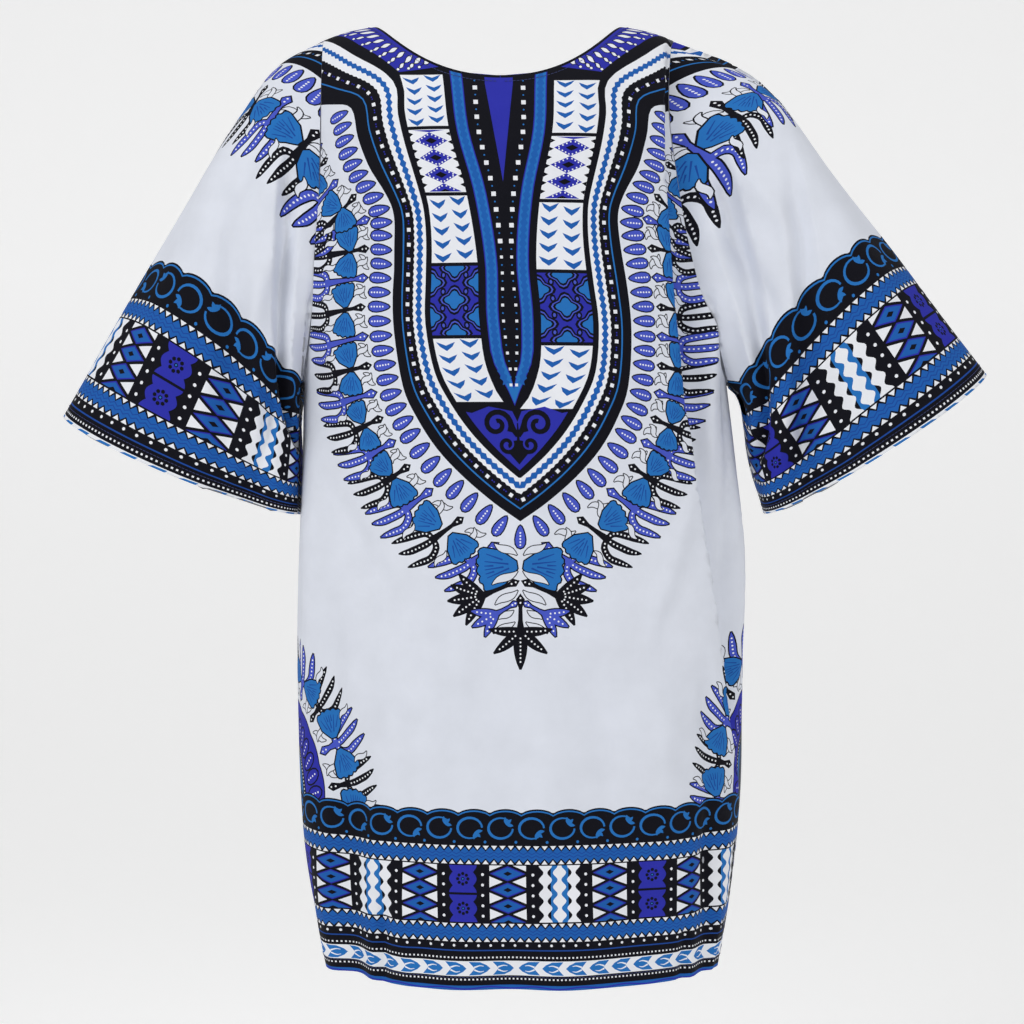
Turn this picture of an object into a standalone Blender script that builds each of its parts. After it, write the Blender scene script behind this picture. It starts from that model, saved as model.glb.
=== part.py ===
"""A dashiki shirt filled out as it is when worn, with nobody in it: back, front, two wide sleeves, neck facing.

Every panel is read from one pair of surfaces, each written over the flat cut of the cloth:
    torso   across p and down q from the shoulder seam, both along the cloth
    sleeve  round u, from -1 to 1 and 0 on the top fold, and along w, from 0 at the armhole to 1 at the cuff
The back of the garment faces -Y, and the origin lies on the shoulder line, where a wearer holds it up.
"""

import math

import bpy
import numpy as np

WALL = 0.0012  # the cloth's wall
SEAM_GAP = 0.0003  # between two pieces at a seam
BACK, FRONT = -1, 1  # which way along Y a panel lies
LEFT, RIGHT = -1, 1  # which way along X a sleeve lies

HEM_DROP = 0.866  # along the cloth, from the shoulder seam to the hem
HEM_SIDE_RISE = 0.011  # the hem is this much shorter at the side seams
ROUND_DROP = 0.125  # height over which the shoulders round over
ROUND_DEPTH = 0.065  # how deep they are there, for the length of the cloth
SIDE_POWER = 0.80  # under 1, a section is fuller than an ellipse

NECK_HALF = 0.113  # half the neck opening, along the shoulder line
BACK_NECK_DROP = 0.081  # along the cloth, at the middle of the neck
FRONT_NECK_DROP = 0.112
NOTCH_HALF = 0.012  # the V notch of the front
NOTCH_DROP = 0.205
SHOULDER_FLAT = 0.098  # the shoulder line is level to here, and then falls
SHOULDER_FALL = 3.7

UNDERARM_DROP = 0.345  # along the cloth, from the shoulder seam to the underarm
CUFF_HALF = 0.250  # half the cuff, laid flat
SLEEVE_RUN = 0.300  # a typical length from armhole to cuff, for the places of the sleeve's folds
SLEEVE_POWER = 0.72  # under 1, a section's ends are blunter than an oval's
UNDERARM_EASE = 0.0022  # the seam's extra gap under the arm
SEAM_PULL = 0.45  # share of the sleeve over which the armhole's shape dies out
CALM_SEAM = 0.12  # share of the sleeve next to the armhole with no folds
CALM_UNDERARM = 0.08  # share of u next to the underarm seam with no folds
SLEEVE_CLEAR = 0.004  # how far a sleeve hangs clear of the torso, past the first part of its length
CLEAR_FROM = 0.05
CLEAR_TOP = 0.23  # below this height the sleeve is kept off the torso, fully from a little further down
CLEAR_BLEND = 0.02
FACING_WIDE = 0.012  # the neck facing
FACING_PROUD = 0.0008  # how far it stands over the neck edge
FACING_GAP = 0.0015  # between it and the panel

TYPICAL_HALF = 0.185  # a middling section, for lengths round it
TYPICAL_DEPTH = 0.105
LEVEL_DROP = 0.3  # height under the shoulder at which the fall of the shoulder no longer shows
AXIS_DROP = 0.08  # the torso's inner line starts this far under the shoulder
FOLD_RUN_ON = 0.25  # share of its length by which a fold runs on past each end
FOLD_FADE = 0.35  # share of its length over which a fold dies out
STEEP_SHARE = 0.30  # share of its reach over which a steep fold comes back on its near side

PANEL_ROWS, PANEL_ROW_POWER = 24, 1.45  # rows of a panel's faces, closer together at the top
NECK_COLUMNS, SHOULDER_COLUMNS = 9, 7
SLEEVE_COLUMNS, SLEEVE_ROWS, SLEEVE_ROW_POWER = 26, 9, 1.1
SEAM_ROWS = (0.002, 0.025)  # the sleeve's first two rows, as shares of its length
NECK_POINTS = 15  # places along half the neck edge, for the facing

# The torso's sections: height, its middle and half width, the depth of the back and of the front, and the
# angle round the section at which the panel ends, which is less than 90 degrees at the armhole.
TORSO = np.array(
    [
        # z,     middle,  half,   back,   front, end_deg
        (0.030, -0.0205, 0.1700, 0.072, 0.078, 65.0),
        (-0.050, -0.0175, 0.1735, 0.086, 0.092, 65.0),
        (-0.120, -0.0145, 0.1765, 0.097, 0.106, 65.5),
        (-0.190, -0.0115, 0.1800, 0.102, 0.114, 67.0),
        (-0.255, -0.0080, 0.1840, 0.104, 0.116, 71.0),
        (-0.305, -0.0050, 0.1870, 0.104, 0.116, 80.0),
        (-0.335, -0.0035, 0.1890, 0.104, 0.115, 90.0),
        (-0.400, -0.0005, 0.1930, 0.105, 0.114, 90.0),
        (-0.475, 0.0000, 0.1965, 0.107, 0.114, 90.0),
        (-0.600, 0.0002, 0.1975, 0.112, 0.117, 90.0),
        (-0.690, 0.0008, 0.1950, 0.116, 0.121, 90.0),
        (-0.745, 0.0005, 0.1895, 0.118, 0.122, 90.0),
        (-0.790, 0.0015, 0.1825, 0.117, 0.121, 90.0),
        (-0.845, 0.0030, 0.1715, 0.113, 0.117, 90.0),
    ]
)
Z, MIDDLE, HALF, BACK_DEPTH, FRONT_DEPTH, END_DEG = range(6)

# Each sleeve's sections, from the armhole to the cuff: the top fold's place, the underarm seam's place, the
# half depth, how far the middle of the section sags under a straight line, and how far it is set to the back.
SLEEVES = {
    LEFT: np.array(
        [
            # w,   top_x,  top_z,  under_x, under_z, half_depth, sag, set_back
            (0.00, -0.1745, -0.0125, -0.1935, -0.3300, 0.054, 0.000, 0.000),
            (0.10, -0.2110, -0.0320, -0.1940, -0.3420, 0.057, 0.000, 0.000),
            (0.25, -0.2480, -0.0800, -0.1935, -0.3600, 0.060, 0.002, 0.001),
            (0.44, -0.2900, -0.1470, -0.1925, -0.3800, 0.061, 0.004, 0.003),
            (0.70, -0.3440, -0.2390, -0.1910, -0.4070, 0.060, 0.009, 0.004),
            (1.00, -0.4050, -0.3450, -0.1900, -0.4320, 0.057, 0.014, 0.004),
        ]
    ),
    RIGHT: np.array(
        [
            (0.00, 0.1355, -0.0125, 0.1825, -0.3300, 0.054, 0.000, 0.000),
            (0.10, 0.1830, -0.0300, 0.1930, -0.3420, 0.057, 0.000, 0.000),
            (0.25, 0.2260, -0.0600, 0.1985, -0.3600, 0.060, 0.002, 0.001),
            (0.44, 0.2760, -0.1290, 0.2030, -0.3800, 0.061, 0.004, 0.003),
            (0.70, 0.3400, -0.2110, 0.2100, -0.4070, 0.060, 0.008, 0.004),
            (1.00, 0.4140, -0.3080, 0.2170, -0.4320, 0.057, 0.012, 0.004),
        ]
    ),
}
W, TOP_X, TOP_Z, UNDER_X, UNDER_Z, HALF_DEPTH, SAG, SET_BACK = range(8)

# The largest folds. Each runs through three places on the cloth. It rises by its height, or sinks if that is
# less than 0, across its reach on either side. A steep one drops at once on its outer side, as a tuck does.
TORSO_FOLDS = (
    # panel, (p, q) of the start, middle and end, reach, height, steep
    (BACK, (0.163, 0.07), (0.163, 0.33), (0.208, 0.62), 0.042, -0.018, 1),
    (BACK, (-0.150, 0.70), (-0.158, 0.79), (-0.160, 0.88), 0.026, -0.009, 0),
    (BACK, (0.176, 0.74), (0.172, 0.80), (0.176, 0.88), 0.024, -0.008, 0),
    (FRONT, (-0.165, 0.18), (-0.176, 0.36), (-0.198, 0.58), 0.040, -0.013, 0),
    (FRONT, (0.150, 0.66), (0.146, 0.77), (0.150, 0.88), 0.030, -0.009, 0),
    (FRONT, (0.182, 0.24), (0.186, 0.40), (0.204, 0.56), 0.036, -0.011, 0),
)
SLEEVE_FOLDS = (
    # sleeve, (u, w) of the start, middle and end, reach, height
    (LEFT, (-0.42, 0.10), (-0.66, 0.20), (-0.86, 0.42), 0.034, -0.014),
    (LEFT, (-0.44, 0.42), (-0.60, 0.66), (-0.66, 1.05), 0.030, -0.012),
    (LEFT, (0.45, 0.14), (0.64, 0.36), (0.72, 1.05), 0.036, -0.012),
    (RIGHT, (-0.42, 0.10), (-0.68, 0.22), (-0.84, 0.50), 0.034, -0.014),
    (RIGHT, (-0.36, 0.38), (-0.58, 0.52), (-0.74, 0.80), 0.028, -0.012),
    (RIGHT, (0.42, 0.14), (0.60, 0.40), (0.70, 1.05), 0.036, -0.012),
)

COLOURS = {
    "back_panel": (0.78, 0.83, 0.88),
    "front_panel": (0.78, 0.83, 0.88),
    "sleeve_left": (0.72, 0.79, 0.86),
    "sleeve_right": (0.72, 0.79, 0.86),
    "neck_facing": (0.03, 0.04, 0.30),
}


def smooth_read(x, xs, ys):
    """A smooth curve through the rows of a table: a cubic between each two rows."""
    order = np.argsort(xs)
    xs, ys = xs[order], ys[order]
    slopes = np.gradient(ys, xs)
    x = np.clip(x, xs[0], xs[-1])
    i = np.clip(np.searchsorted(xs, x) - 1, 0, len(xs) - 2)
    step = xs[i + 1] - xs[i]
    t = (x - xs[i]) / step
    return (
        ys[i] * (1 + 2 * t) * (1 - t) ** 2
        + ys[i + 1] * t * t * (3 - 2 * t)
        + step * t * (1 - t) * (slopes[i] * (1 - t) - slopes[i + 1] * t)
    )


def along_curve(points):
    """The length along a polyline of points, from 0."""
    steps = np.linalg.norm(np.diff(points, axis=0), axis=1)
    return np.concatenate([[0.0], np.cumsum(steps)])


# How far round a section each share of the cloth's half width lies, and how far down each length of cloth
# from the shoulder seam lies. Both come from a typical section's own curve.
ANGLES = np.linspace(0, math.pi / 2, 400)
ROUND_CURVE = np.stack(
    [TYPICAL_HALF * np.sin(ANGLES), TYPICAL_DEPTH * np.cos(ANGLES) ** SIDE_POWER], axis=1
)
ROUND_SHARE = along_curve(ROUND_CURVE)
HALF_GIRTH = ROUND_SHARE[-1] / TYPICAL_HALF
ROUND_SHARE = ROUND_SHARE / ROUND_SHARE[-1]
DROP_CURVE = np.stack([ROUND_DEPTH * np.sin(ANGLES), ROUND_DROP * (1 - np.cos(ANGLES))], axis=1)
DROP_CLOTH = along_curve(DROP_CURVE)


def drop_of(q):
    """The height under the shoulder seam at q down the cloth, and the share of the full depth there."""
    angle = np.interp(q, DROP_CLOTH, ANGLES)
    past = np.maximum(q - DROP_CLOTH[-1], 0)
    return ROUND_DROP * (1 - np.cos(angle)) + past, np.sin(angle)


def end_share(q):
    """The share of the half width at which the panel ends: under 1 at the armhole, 1 under it."""
    z = -drop_of(q)[0]
    end = np.radians(smooth_read(z, TORSO[:, Z], TORSO[:, END_DEG]))
    share = np.interp(np.clip(end, 0, math.pi / 2), ANGLES, ROUND_SHARE)
    return np.where(q >= UNDERARM_DROP, 1.0, share)


def half_cloth(q):
    """The cloth from the middle of a panel to its side, if it had no armhole."""
    return HALF_GIRTH * smooth_read(-drop_of(q)[0], TORSO[:, Z], TORSO[:, HALF])


def eased(share):
    """0 up to a share of 0, 1 from a share of 1, with a smooth step between."""
    share = np.clip(share, 0, 1)
    return share * share * (3 - 2 * share)


def fold_height(across, down, folds):
    """The height of the folds at places on the cloth, both in metres along it."""
    total = np.zeros_like(across)
    for start, middle, end, reach, height, steep in folds:
        ends = sorted((start, end), key=lambda place: place[1])
        t = (down - ends[0][1]) / (ends[1][1] - ends[0][1])
        t = np.clip(t, -FOLD_RUN_ON, 1 + FOLD_RUN_ON)
        bend = middle[0] - (ends[0][0] + ends[1][0]) / 2
        centre = ends[0][0] + (ends[1][0] - ends[0][0]) * t + bend * 4 * t * (1 - t)
        outward = (across - centre) * math.copysign(1, start[0])
        near = reach * np.where(outward < 0, STEEP_SHARE if steep else 1.0, 1.0)
        inside = np.clip(1 - (outward / near) ** 2, 0, 1)
        starts, stops = (t + FOLD_RUN_ON) / FOLD_FADE, (1 + FOLD_RUN_ON - t) / FOLD_FADE
        total += height * inside**2 * eased(np.clip(starts, 0, 1) * np.clip(stops, 0, 1))
    return total


def torso_plain(panel, p, q):
    """The torso's surface without folds."""
    drop, share = drop_of(q)
    angle = np.interp(np.abs(p) / half_cloth(q), ROUND_SHARE, ANGLES) * np.sign(p)
    still_falls = np.clip(1 - drop / LEVEL_DROP, 0, 1)
    z = -drop
    for _ in range(2):
        off = smooth_read(z, TORSO[:, Z], TORSO[:, HALF]) * np.sin(angle)
        x = smooth_read(z, TORSO[:, Z], TORSO[:, MIDDLE]) + off
        z = -drop - SHOULDER_FALL * np.maximum(np.abs(off) - SHOULDER_FLAT, 0) ** 2 * still_falls
    depth = smooth_read(z, TORSO[:, Z], TORSO[:, BACK_DEPTH if panel == BACK else FRONT_DEPTH])
    y = panel * depth * share * np.cos(angle) ** SIDE_POWER
    return np.stack([x, y, z], axis=-1)


def pushed_out(surface, a, b, height, outward):
    """Points of a surface moved along its normal, which points away from the points of outward."""
    here = surface(a, b)
    e = 0.0005
    normal = np.cross(surface(a + e, b) - surface(a - e, b), surface(a, b + e) - surface(a, b - e))
    normal /= np.linalg.norm(normal, axis=-1, keepdims=True) + 1e-12
    facing = np.sum(normal * (here - outward), axis=-1, keepdims=True)
    return here + normal * np.where(facing < 0, -1, 1) * height[..., None]


def torso(panel, p, q, lift=0.0):
    """The torso's surface with its folds, lifted off by a distance."""
    folds = [fold[1:] for fold in TORSO_FOLDS if fold[0] == panel]
    height = fold_height(p, q, folds) + lift
    inside = np.stack([0 * p, 0 * p, -AXIS_DROP - drop_of(q)[0]], axis=-1)
    limit = 0.9985 * half_cloth(q)
    safe = np.clip(p, -limit, limit)
    moved = pushed_out(lambda a, b: torso_plain(panel, a, b), safe, np.maximum(q, 0.002), height, inside)
    return moved + torso_plain(panel, p, q) - torso_plain(panel, safe, np.maximum(q, 0.002))


def armhole(side, u):
    """The armhole's curve at u round it: back for u under 0, front over it."""
    q = UNDERARM_DROP * np.abs(u)
    p = side * end_share(q) * half_cloth(q)
    back, front = torso(BACK, p, q), torso(FRONT, p, q)
    return np.where((u < 0)[..., None], back, front)


def blunt(turn):
    """The half depth of a sleeve's section, fuller than an oval's."""
    return np.abs(np.sin(turn)) ** SLEEVE_POWER


def sleeve_plain(side, u, w):
    """The sleeve's surface without folds: an oval between its top fold and its underarm seam."""
    rows = SLEEVES[side]
    read = {name: smooth_read(w, rows[:, W], rows[:, name]) for name in range(1, 8)}
    turn = math.pi * np.abs(u)
    down = (1 - np.cos(turn)) / 2
    side_y = np.where(u < 0, -1, 1)
    x = read[TOP_X] + (read[UNDER_X] - read[TOP_X]) * down
    z = read[TOP_Z] + (read[UNDER_Z] - read[TOP_Z]) * down - read[SAG] * np.sin(turn)
    y = side_y * read[HALF_DEPTH] * blunt(turn) - read[SET_BACK] * np.sin(turn)
    ring = np.stack([x, y, z], axis=-1)
    start = sleeve_start(side, u)
    return ring + start * eased(1 - w / SEAM_PULL)[..., None]


def sleeve_start(side, u):
    """How far the armhole's curve lies from the oval of the sleeve's first section."""
    row = SLEEVES[side][0]
    turn = math.pi * np.abs(u)
    down = (1 - np.cos(turn)) / 2
    x = row[TOP_X] + (row[UNDER_X] - row[TOP_X]) * down
    z = row[TOP_Z] + (row[UNDER_Z] - row[TOP_Z]) * down
    y = np.where(u < 0, -1, 1) * row[HALF_DEPTH] * blunt(turn)
    return armhole(side, even_share(side, u)) - np.stack([x, y, z], axis=-1)


def even_share(side, u):
    """The share of the armhole's cloth that goes with u on the oval, so that the two turn together."""
    row = SLEEVES[side][0]
    z = row[TOP_Z] + (row[UNDER_Z] - row[TOP_Z]) * (1 - np.cos(math.pi * np.abs(u))) / 2
    q = np.linspace(0, UNDERARM_DROP, 200)
    heights = torso_plain(BACK, side * end_share(q) * half_cloth(q), q)[:, 2]
    share = np.interp(-z, -heights, q) / UNDERARM_DROP
    return np.where(np.abs(u) >= 1, 1, share) * np.where(u < 0, -1, 1)


def off_torso(points, w):
    """Sleeve points moved out until they are clear of the torso's side, by more the further from the seam."""
    z = points[..., 2]
    middle = smooth_read(z, TORSO[:, Z], TORSO[:, MIDDLE])
    half = smooth_read(z, TORSO[:, Z], TORSO[:, HALF])
    depth = smooth_read(z, TORSO[:, Z], TORSO[:, FRONT_DEPTH])
    out = points[..., 0] - middle
    across = np.clip(np.abs(points[..., 1]) / depth, 0, 0.98)
    clear = SLEEVE_CLEAR * np.clip(w / CLEAR_FROM, 0, 1)
    least = half * np.sin(np.arccos(across ** (1 / SIDE_POWER))) + clear
    short = np.maximum(least - np.abs(out), 0) * np.clip((-z - CLEAR_TOP) / CLEAR_BLEND, 0, 1)
    moved = points.copy()
    moved[..., 0] += np.sign(out) * short
    return moved


def sleeve(side, u, w, lift=0.0):
    """The sleeve's surface with its folds, lifted off by a distance."""
    folds = [
        tuple((at[0] * CUFF_HALF, at[1] * SLEEVE_RUN) for at in fold[1:4]) + (fold[4], fold[5], 0)
        for fold in SLEEVE_FOLDS
        if fold[0] == side
    ]
    calm = np.clip(w / CALM_SEAM, 0, 1) * np.clip((1 - np.abs(u)) / CALM_UNDERARM, 0, 1)
    height = fold_height(u * CUFF_HALF, w * SLEEVE_RUN, folds) * calm + lift
    rows = SLEEVES[side]
    x = smooth_read(w, rows[:, W], (rows[:, TOP_X] + rows[:, UNDER_X]) / 2)
    z = smooth_read(w, rows[:, W], (rows[:, TOP_Z] + rows[:, UNDER_Z]) / 2)
    inside = np.stack([x, 0 * w, z], axis=-1)
    moved = pushed_out(lambda a, b: sleeve_plain(side, a, b), u, w, height, inside)
    return off_torso(moved, w)


def neck_drop(panel, p):
    """How far down the cloth the neck edge lies at p, and 0 on the shoulder."""
    depth = BACK_NECK_DROP if panel == BACK else FRONT_NECK_DROP
    edge = depth * np.clip(1 - (np.abs(p) / NECK_HALF) ** 2.2, 0, 1) ** 0.75
    if panel == BACK:
        return edge
    share = np.clip(1 - np.abs(p) / NOTCH_HALF, 0, 1)
    return edge + (NOTCH_DROP - FRONT_NECK_DROP) * share


def hem_drop(share):
    return HEM_DROP - HEM_SIDE_RISE * np.abs(share) ** 3


def panel_columns(panel):
    """Shares of the panel's half width, with a column at each corner of its cut."""
    top = end_share(np.array([0.0])) * half_cloth(np.array([0.0]))
    neck = float(NECK_HALF / top[0])
    notch = float(NOTCH_HALF / top[0])
    inner = [0, notch / 2, notch, 1.8 * notch] if panel == FRONT else [0, notch]
    neck_part = neck * np.sin(np.linspace(0.18, 1, NECK_COLUMNS) * math.pi / 2)
    shoulder = np.linspace(neck, 1, SHOULDER_COLUMNS + 1)[1:]
    right = np.concatenate([inner, neck_part, shoulder])
    return np.concatenate([-right[:0:-1], right])


def sheet_mesh(name, points, closed_round=False):
    """A mesh of quads over a grid of points, rows by columns, joined round when it is a tube."""
    rows, columns = points.shape[:2]
    faces = []
    for r in range(rows - 1):
        for c in range(columns if closed_round else columns - 1):
            n = (c + 1) % columns
            faces.append((r * columns + c, r * columns + n, (r + 1) * columns + n, (r + 1) * columns + c))
    mesh = bpy.data.meshes.new(name)
    mesh.from_pydata(points.reshape(-1, 3).tolist(), [], faces)
    mesh.validate()
    return mesh


def cloth_object(name, mesh, flip, collection):
    """A named piece of cloth: the outer face is the mesh, and the wall is inside it."""
    if flip:
        mesh.flip_normals()
    cloth = bpy.data.objects.new(name, mesh)
    collection.objects.link(cloth)
    wall = cloth.modifiers.new("wall", "SOLIDIFY")
    wall.thickness = WALL
    wall.offset = -1
    material = bpy.data.materials.new(name)
    material.use_nodes = True
    shader = material.node_tree.nodes["Principled BSDF"]
    shader.inputs["Base Color"].default_value = (*COLOURS[name], 1)
    shader.inputs["Roughness"].default_value = 0.85
    shader.inputs["Metallic"].default_value = 0.0
    mesh.materials.append(material)
    mesh.shade_smooth()
    return cloth


def make_panel(name, panel, collection):
    """The back or the front, from the shoulder seams and neck edge to the hem."""
    columns = panel_columns(panel)
    rows = np.linspace(0, 1, PANEL_ROWS) ** PANEL_ROW_POWER
    share, down = np.meshgrid(columns, rows)
    top_half = float((end_share(np.array([0.0])) * half_cloth(np.array([0.0])))[0]) - SEAM_GAP
    top = neck_drop(panel, share * top_half)
    top = np.where(np.abs(share) * top_half >= NECK_HALF - 1e-6, SEAM_GAP / 2, top)
    q = top + (hem_drop(share) - top) * down
    p = share * (end_share(q) * half_cloth(q) - SEAM_GAP / 2)
    points = torso(panel, p, q)
    points[..., 1] += panel * SEAM_GAP / 2
    return cloth_object(name, sheet_mesh(name, points), panel == FRONT, collection)


def make_sleeve(name, side, collection):
    """One sleeve, a tube from just outside the armhole seam to the cuff."""
    round_u = np.linspace(-1, 1, SLEEVE_COLUMNS + 1)[:-1]
    along = np.concatenate([SEAM_ROWS, np.linspace(0, 1, SLEEVE_ROWS + 1)[1:] ** SLEEVE_ROW_POWER])
    u, w = np.meshgrid(round_u, along)
    points = sleeve(side, u, w)
    points[0, :, 0] += side * (SEAM_GAP + UNDERARM_EASE * round_u**4)
    return cloth_object(name, sheet_mesh(name, points, True), side == RIGHT, collection)


def neck_edge(panel):
    """Places along a panel's neck edge, from left to right, and which way the cloth lies from each."""
    notch = [NOTCH_HALF / 2, NOTCH_HALF] if panel == FRONT else []
    right = np.concatenate([notch, NECK_HALF * np.sin(np.linspace(0.17, 1, NECK_POINTS) * math.pi / 2)])
    p = np.concatenate([-right[::-1], [0.0], right])
    q = neck_drop(panel, p)
    along_p, along_q = np.gradient(p), np.gradient(q)
    along_q[0], along_p[0] = 1, 0
    along_q[-1], along_p[-1] = -1, 0
    length = np.hypot(along_p, along_q)
    return p, q, -along_q / length, along_p / length


def make_facing(name, collection):
    """The strip inside the neck edge, all the way round, standing just proud of it."""
    back, front = neck_edge(BACK), neck_edge(FRONT)
    inside = -(WALL + FACING_GAP)
    rows = []
    for in_from_edge in (-FACING_PROUD, FACING_WIDE / 2, FACING_WIDE):
        row = []
        for panel, (p, q, cloth_p, cloth_q) in ((BACK, back), (FRONT, front)):
            at_p = p + cloth_p * in_from_edge
            at_q = np.maximum(q + cloth_q * in_from_edge, 0)
            points = torso(panel, at_p, at_q, inside)
            row.append(points[:-1] if panel == BACK else points[:0:-1])
        rows.append(np.concatenate(row))
    return cloth_object(name, sheet_mesh(name, np.array(rows), True), False, collection)


def main():
    for thing in list(bpy.data.objects):
        bpy.data.objects.remove(thing)
    shirt = bpy.data.collections.new("dashiki_shirt")
    bpy.context.scene.collection.children.link(shirt)
    make_panel("back_panel", BACK, shirt)
    make_panel("front_panel", FRONT, shirt)
    make_sleeve("sleeve_left", LEFT, shirt)
    make_sleeve("sleeve_right", RIGHT, shirt)
    make_facing("neck_facing", shirt)


main()
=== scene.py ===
"""The dashiki shirt's looks: printed cotton cloth, worn and hollow, on a pale floor in soft studio light.

Each panel is drawn flat, as its cut, with every printed shape as an outline. The flat drawing is split into
triangles and then hung on the garment's form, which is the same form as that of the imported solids.
Flat coordinates are metres: p across and q down from the shoulder seam on a panel; g across from the top
fold and r up from the cuff on a sleeve.
"""

import math

import bmesh
import bpy
import numpy as np
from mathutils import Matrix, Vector
from mathutils.geometry import delaunay_2d_cdt


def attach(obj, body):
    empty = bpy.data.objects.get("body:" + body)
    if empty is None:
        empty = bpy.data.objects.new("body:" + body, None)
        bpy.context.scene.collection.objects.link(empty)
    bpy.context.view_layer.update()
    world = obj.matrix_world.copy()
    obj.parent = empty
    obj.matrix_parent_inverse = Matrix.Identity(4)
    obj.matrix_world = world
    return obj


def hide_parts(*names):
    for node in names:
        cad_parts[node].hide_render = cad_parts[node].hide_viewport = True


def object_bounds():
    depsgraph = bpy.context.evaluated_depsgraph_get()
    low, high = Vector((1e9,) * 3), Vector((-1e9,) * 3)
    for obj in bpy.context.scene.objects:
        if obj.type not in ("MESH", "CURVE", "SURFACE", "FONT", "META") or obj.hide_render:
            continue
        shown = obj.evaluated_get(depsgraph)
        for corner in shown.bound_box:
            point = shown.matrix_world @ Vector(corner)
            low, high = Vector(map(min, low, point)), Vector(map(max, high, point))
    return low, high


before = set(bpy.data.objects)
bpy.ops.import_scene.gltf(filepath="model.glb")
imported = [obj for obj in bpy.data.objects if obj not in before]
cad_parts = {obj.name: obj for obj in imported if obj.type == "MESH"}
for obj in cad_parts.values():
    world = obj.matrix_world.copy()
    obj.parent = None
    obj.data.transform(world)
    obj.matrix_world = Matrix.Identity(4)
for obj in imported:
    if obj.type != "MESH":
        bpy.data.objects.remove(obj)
cad_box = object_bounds()

# ---------------------------------------------------------------- the garment's form

CLOTH = 0.0012  # the cloth's wall
SEAM_GAP = 0.0001  # between two pieces that are sewn together
BACK, FRONT = -1, 1
LEFT, RIGHT = -1, 1

HEM_DROP = 0.866
HEM_HALF = 0.235
HEM_SIDE_RISE = 0.011
ROUND_DROP = 0.125
ROUND_DEPTH = 0.065
SIDE_POWER = 0.80
NECK_HALF = 0.113
BACK_NECK_DROP = 0.081
FRONT_NECK_DROP = 0.112
NOTCH_HALF = 0.012
NOTCH_DROP = 0.205
SHOULDER_FLAT = 0.098
SHOULDER_FALL = 3.7
UNDERARM_DROP = 0.345
CUFF_HALF = 0.250
SLEEVE_TOP = 0.412
SLEEVE_UNDER = 0.112
SLEEVE_POWER = 0.72
SLEEVE_RUN = 0.3  # the length that w from 0 to 1 stands for in a fold
UNDERARM_EASE = 0.0022
SLEEVE_CLEAR = 0.004

TORSO = np.array(
    [
        # z,     middle,  half,   back,   front, end_deg
        (0.030, -0.0205, 0.1700, 0.072, 0.078, 65.0),
        (-0.050, -0.0175, 0.1735, 0.086, 0.092, 65.0),
        (-0.120, -0.0145, 0.1765, 0.097, 0.106, 65.5),
        (-0.190, -0.0115, 0.1800, 0.102, 0.114, 67.0),
        (-0.255, -0.0080, 0.1840, 0.104, 0.116, 71.0),
        (-0.305, -0.0050, 0.1870, 0.104, 0.116, 80.0),
        (-0.335, -0.0035, 0.1890, 0.104, 0.115, 90.0),
        (-0.400, -0.0005, 0.1930, 0.105, 0.114, 90.0),
        (-0.475, 0.0000, 0.1965, 0.107, 0.114, 90.0),
        (-0.600, 0.0002, 0.1975, 0.112, 0.117, 90.0),
        (-0.690, 0.0008, 0.1950, 0.116, 0.121, 90.0),
        (-0.745, 0.0005, 0.1895, 0.118, 0.122, 90.0),
        (-0.790, 0.0015, 0.1825, 0.117, 0.121, 90.0),
        (-0.845, 0.0030, 0.1715, 0.113, 0.117, 90.0),
    ]
)
Z, MIDDLE, HALF, BACK_DEPTH, FRONT_DEPTH, END_DEG = range(6)

SLEEVES = {
    LEFT: np.array(
        [
            # w,   top_x,  top_z,  under_x, under_z, half_depth, sag, set_back
            (0.00, -0.1745, -0.0125, -0.1935, -0.3300, 0.054, 0.000, 0.000),
            (0.10, -0.2110, -0.0320, -0.1940, -0.3420, 0.057, 0.000, 0.000),
            (0.25, -0.2480, -0.0800, -0.1935, -0.3600, 0.060, 0.002, 0.001),
            (0.44, -0.2900, -0.1470, -0.1925, -0.3800, 0.061, 0.004, 0.003),
            (0.70, -0.3440, -0.2390, -0.1910, -0.4070, 0.060, 0.009, 0.004),
            (1.00, -0.4050, -0.3450, -0.1900, -0.4320, 0.057, 0.014, 0.004),
        ]
    ),
    RIGHT: np.array(
        [
            (0.00, 0.1355, -0.0125, 0.1825, -0.3300, 0.054, 0.000, 0.000),
            (0.10, 0.1830, -0.0300, 0.1930, -0.3420, 0.057, 0.000, 0.000),
            (0.25, 0.2260, -0.0600, 0.1985, -0.3600, 0.060, 0.002, 0.001),
            (0.44, 0.2760, -0.1290, 0.2030, -0.3800, 0.061, 0.004, 0.003),
            (0.70, 0.3400, -0.2110, 0.2100, -0.4070, 0.060, 0.008, 0.004),
            (1.00, 0.4140, -0.3080, 0.2170, -0.4320, 0.057, 0.012, 0.004),
        ]
    ),
}
W, TOP_X, TOP_Z, UNDER_X, UNDER_Z, HALF_DEPTH, SAG, SET_BACK = range(8)

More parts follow.
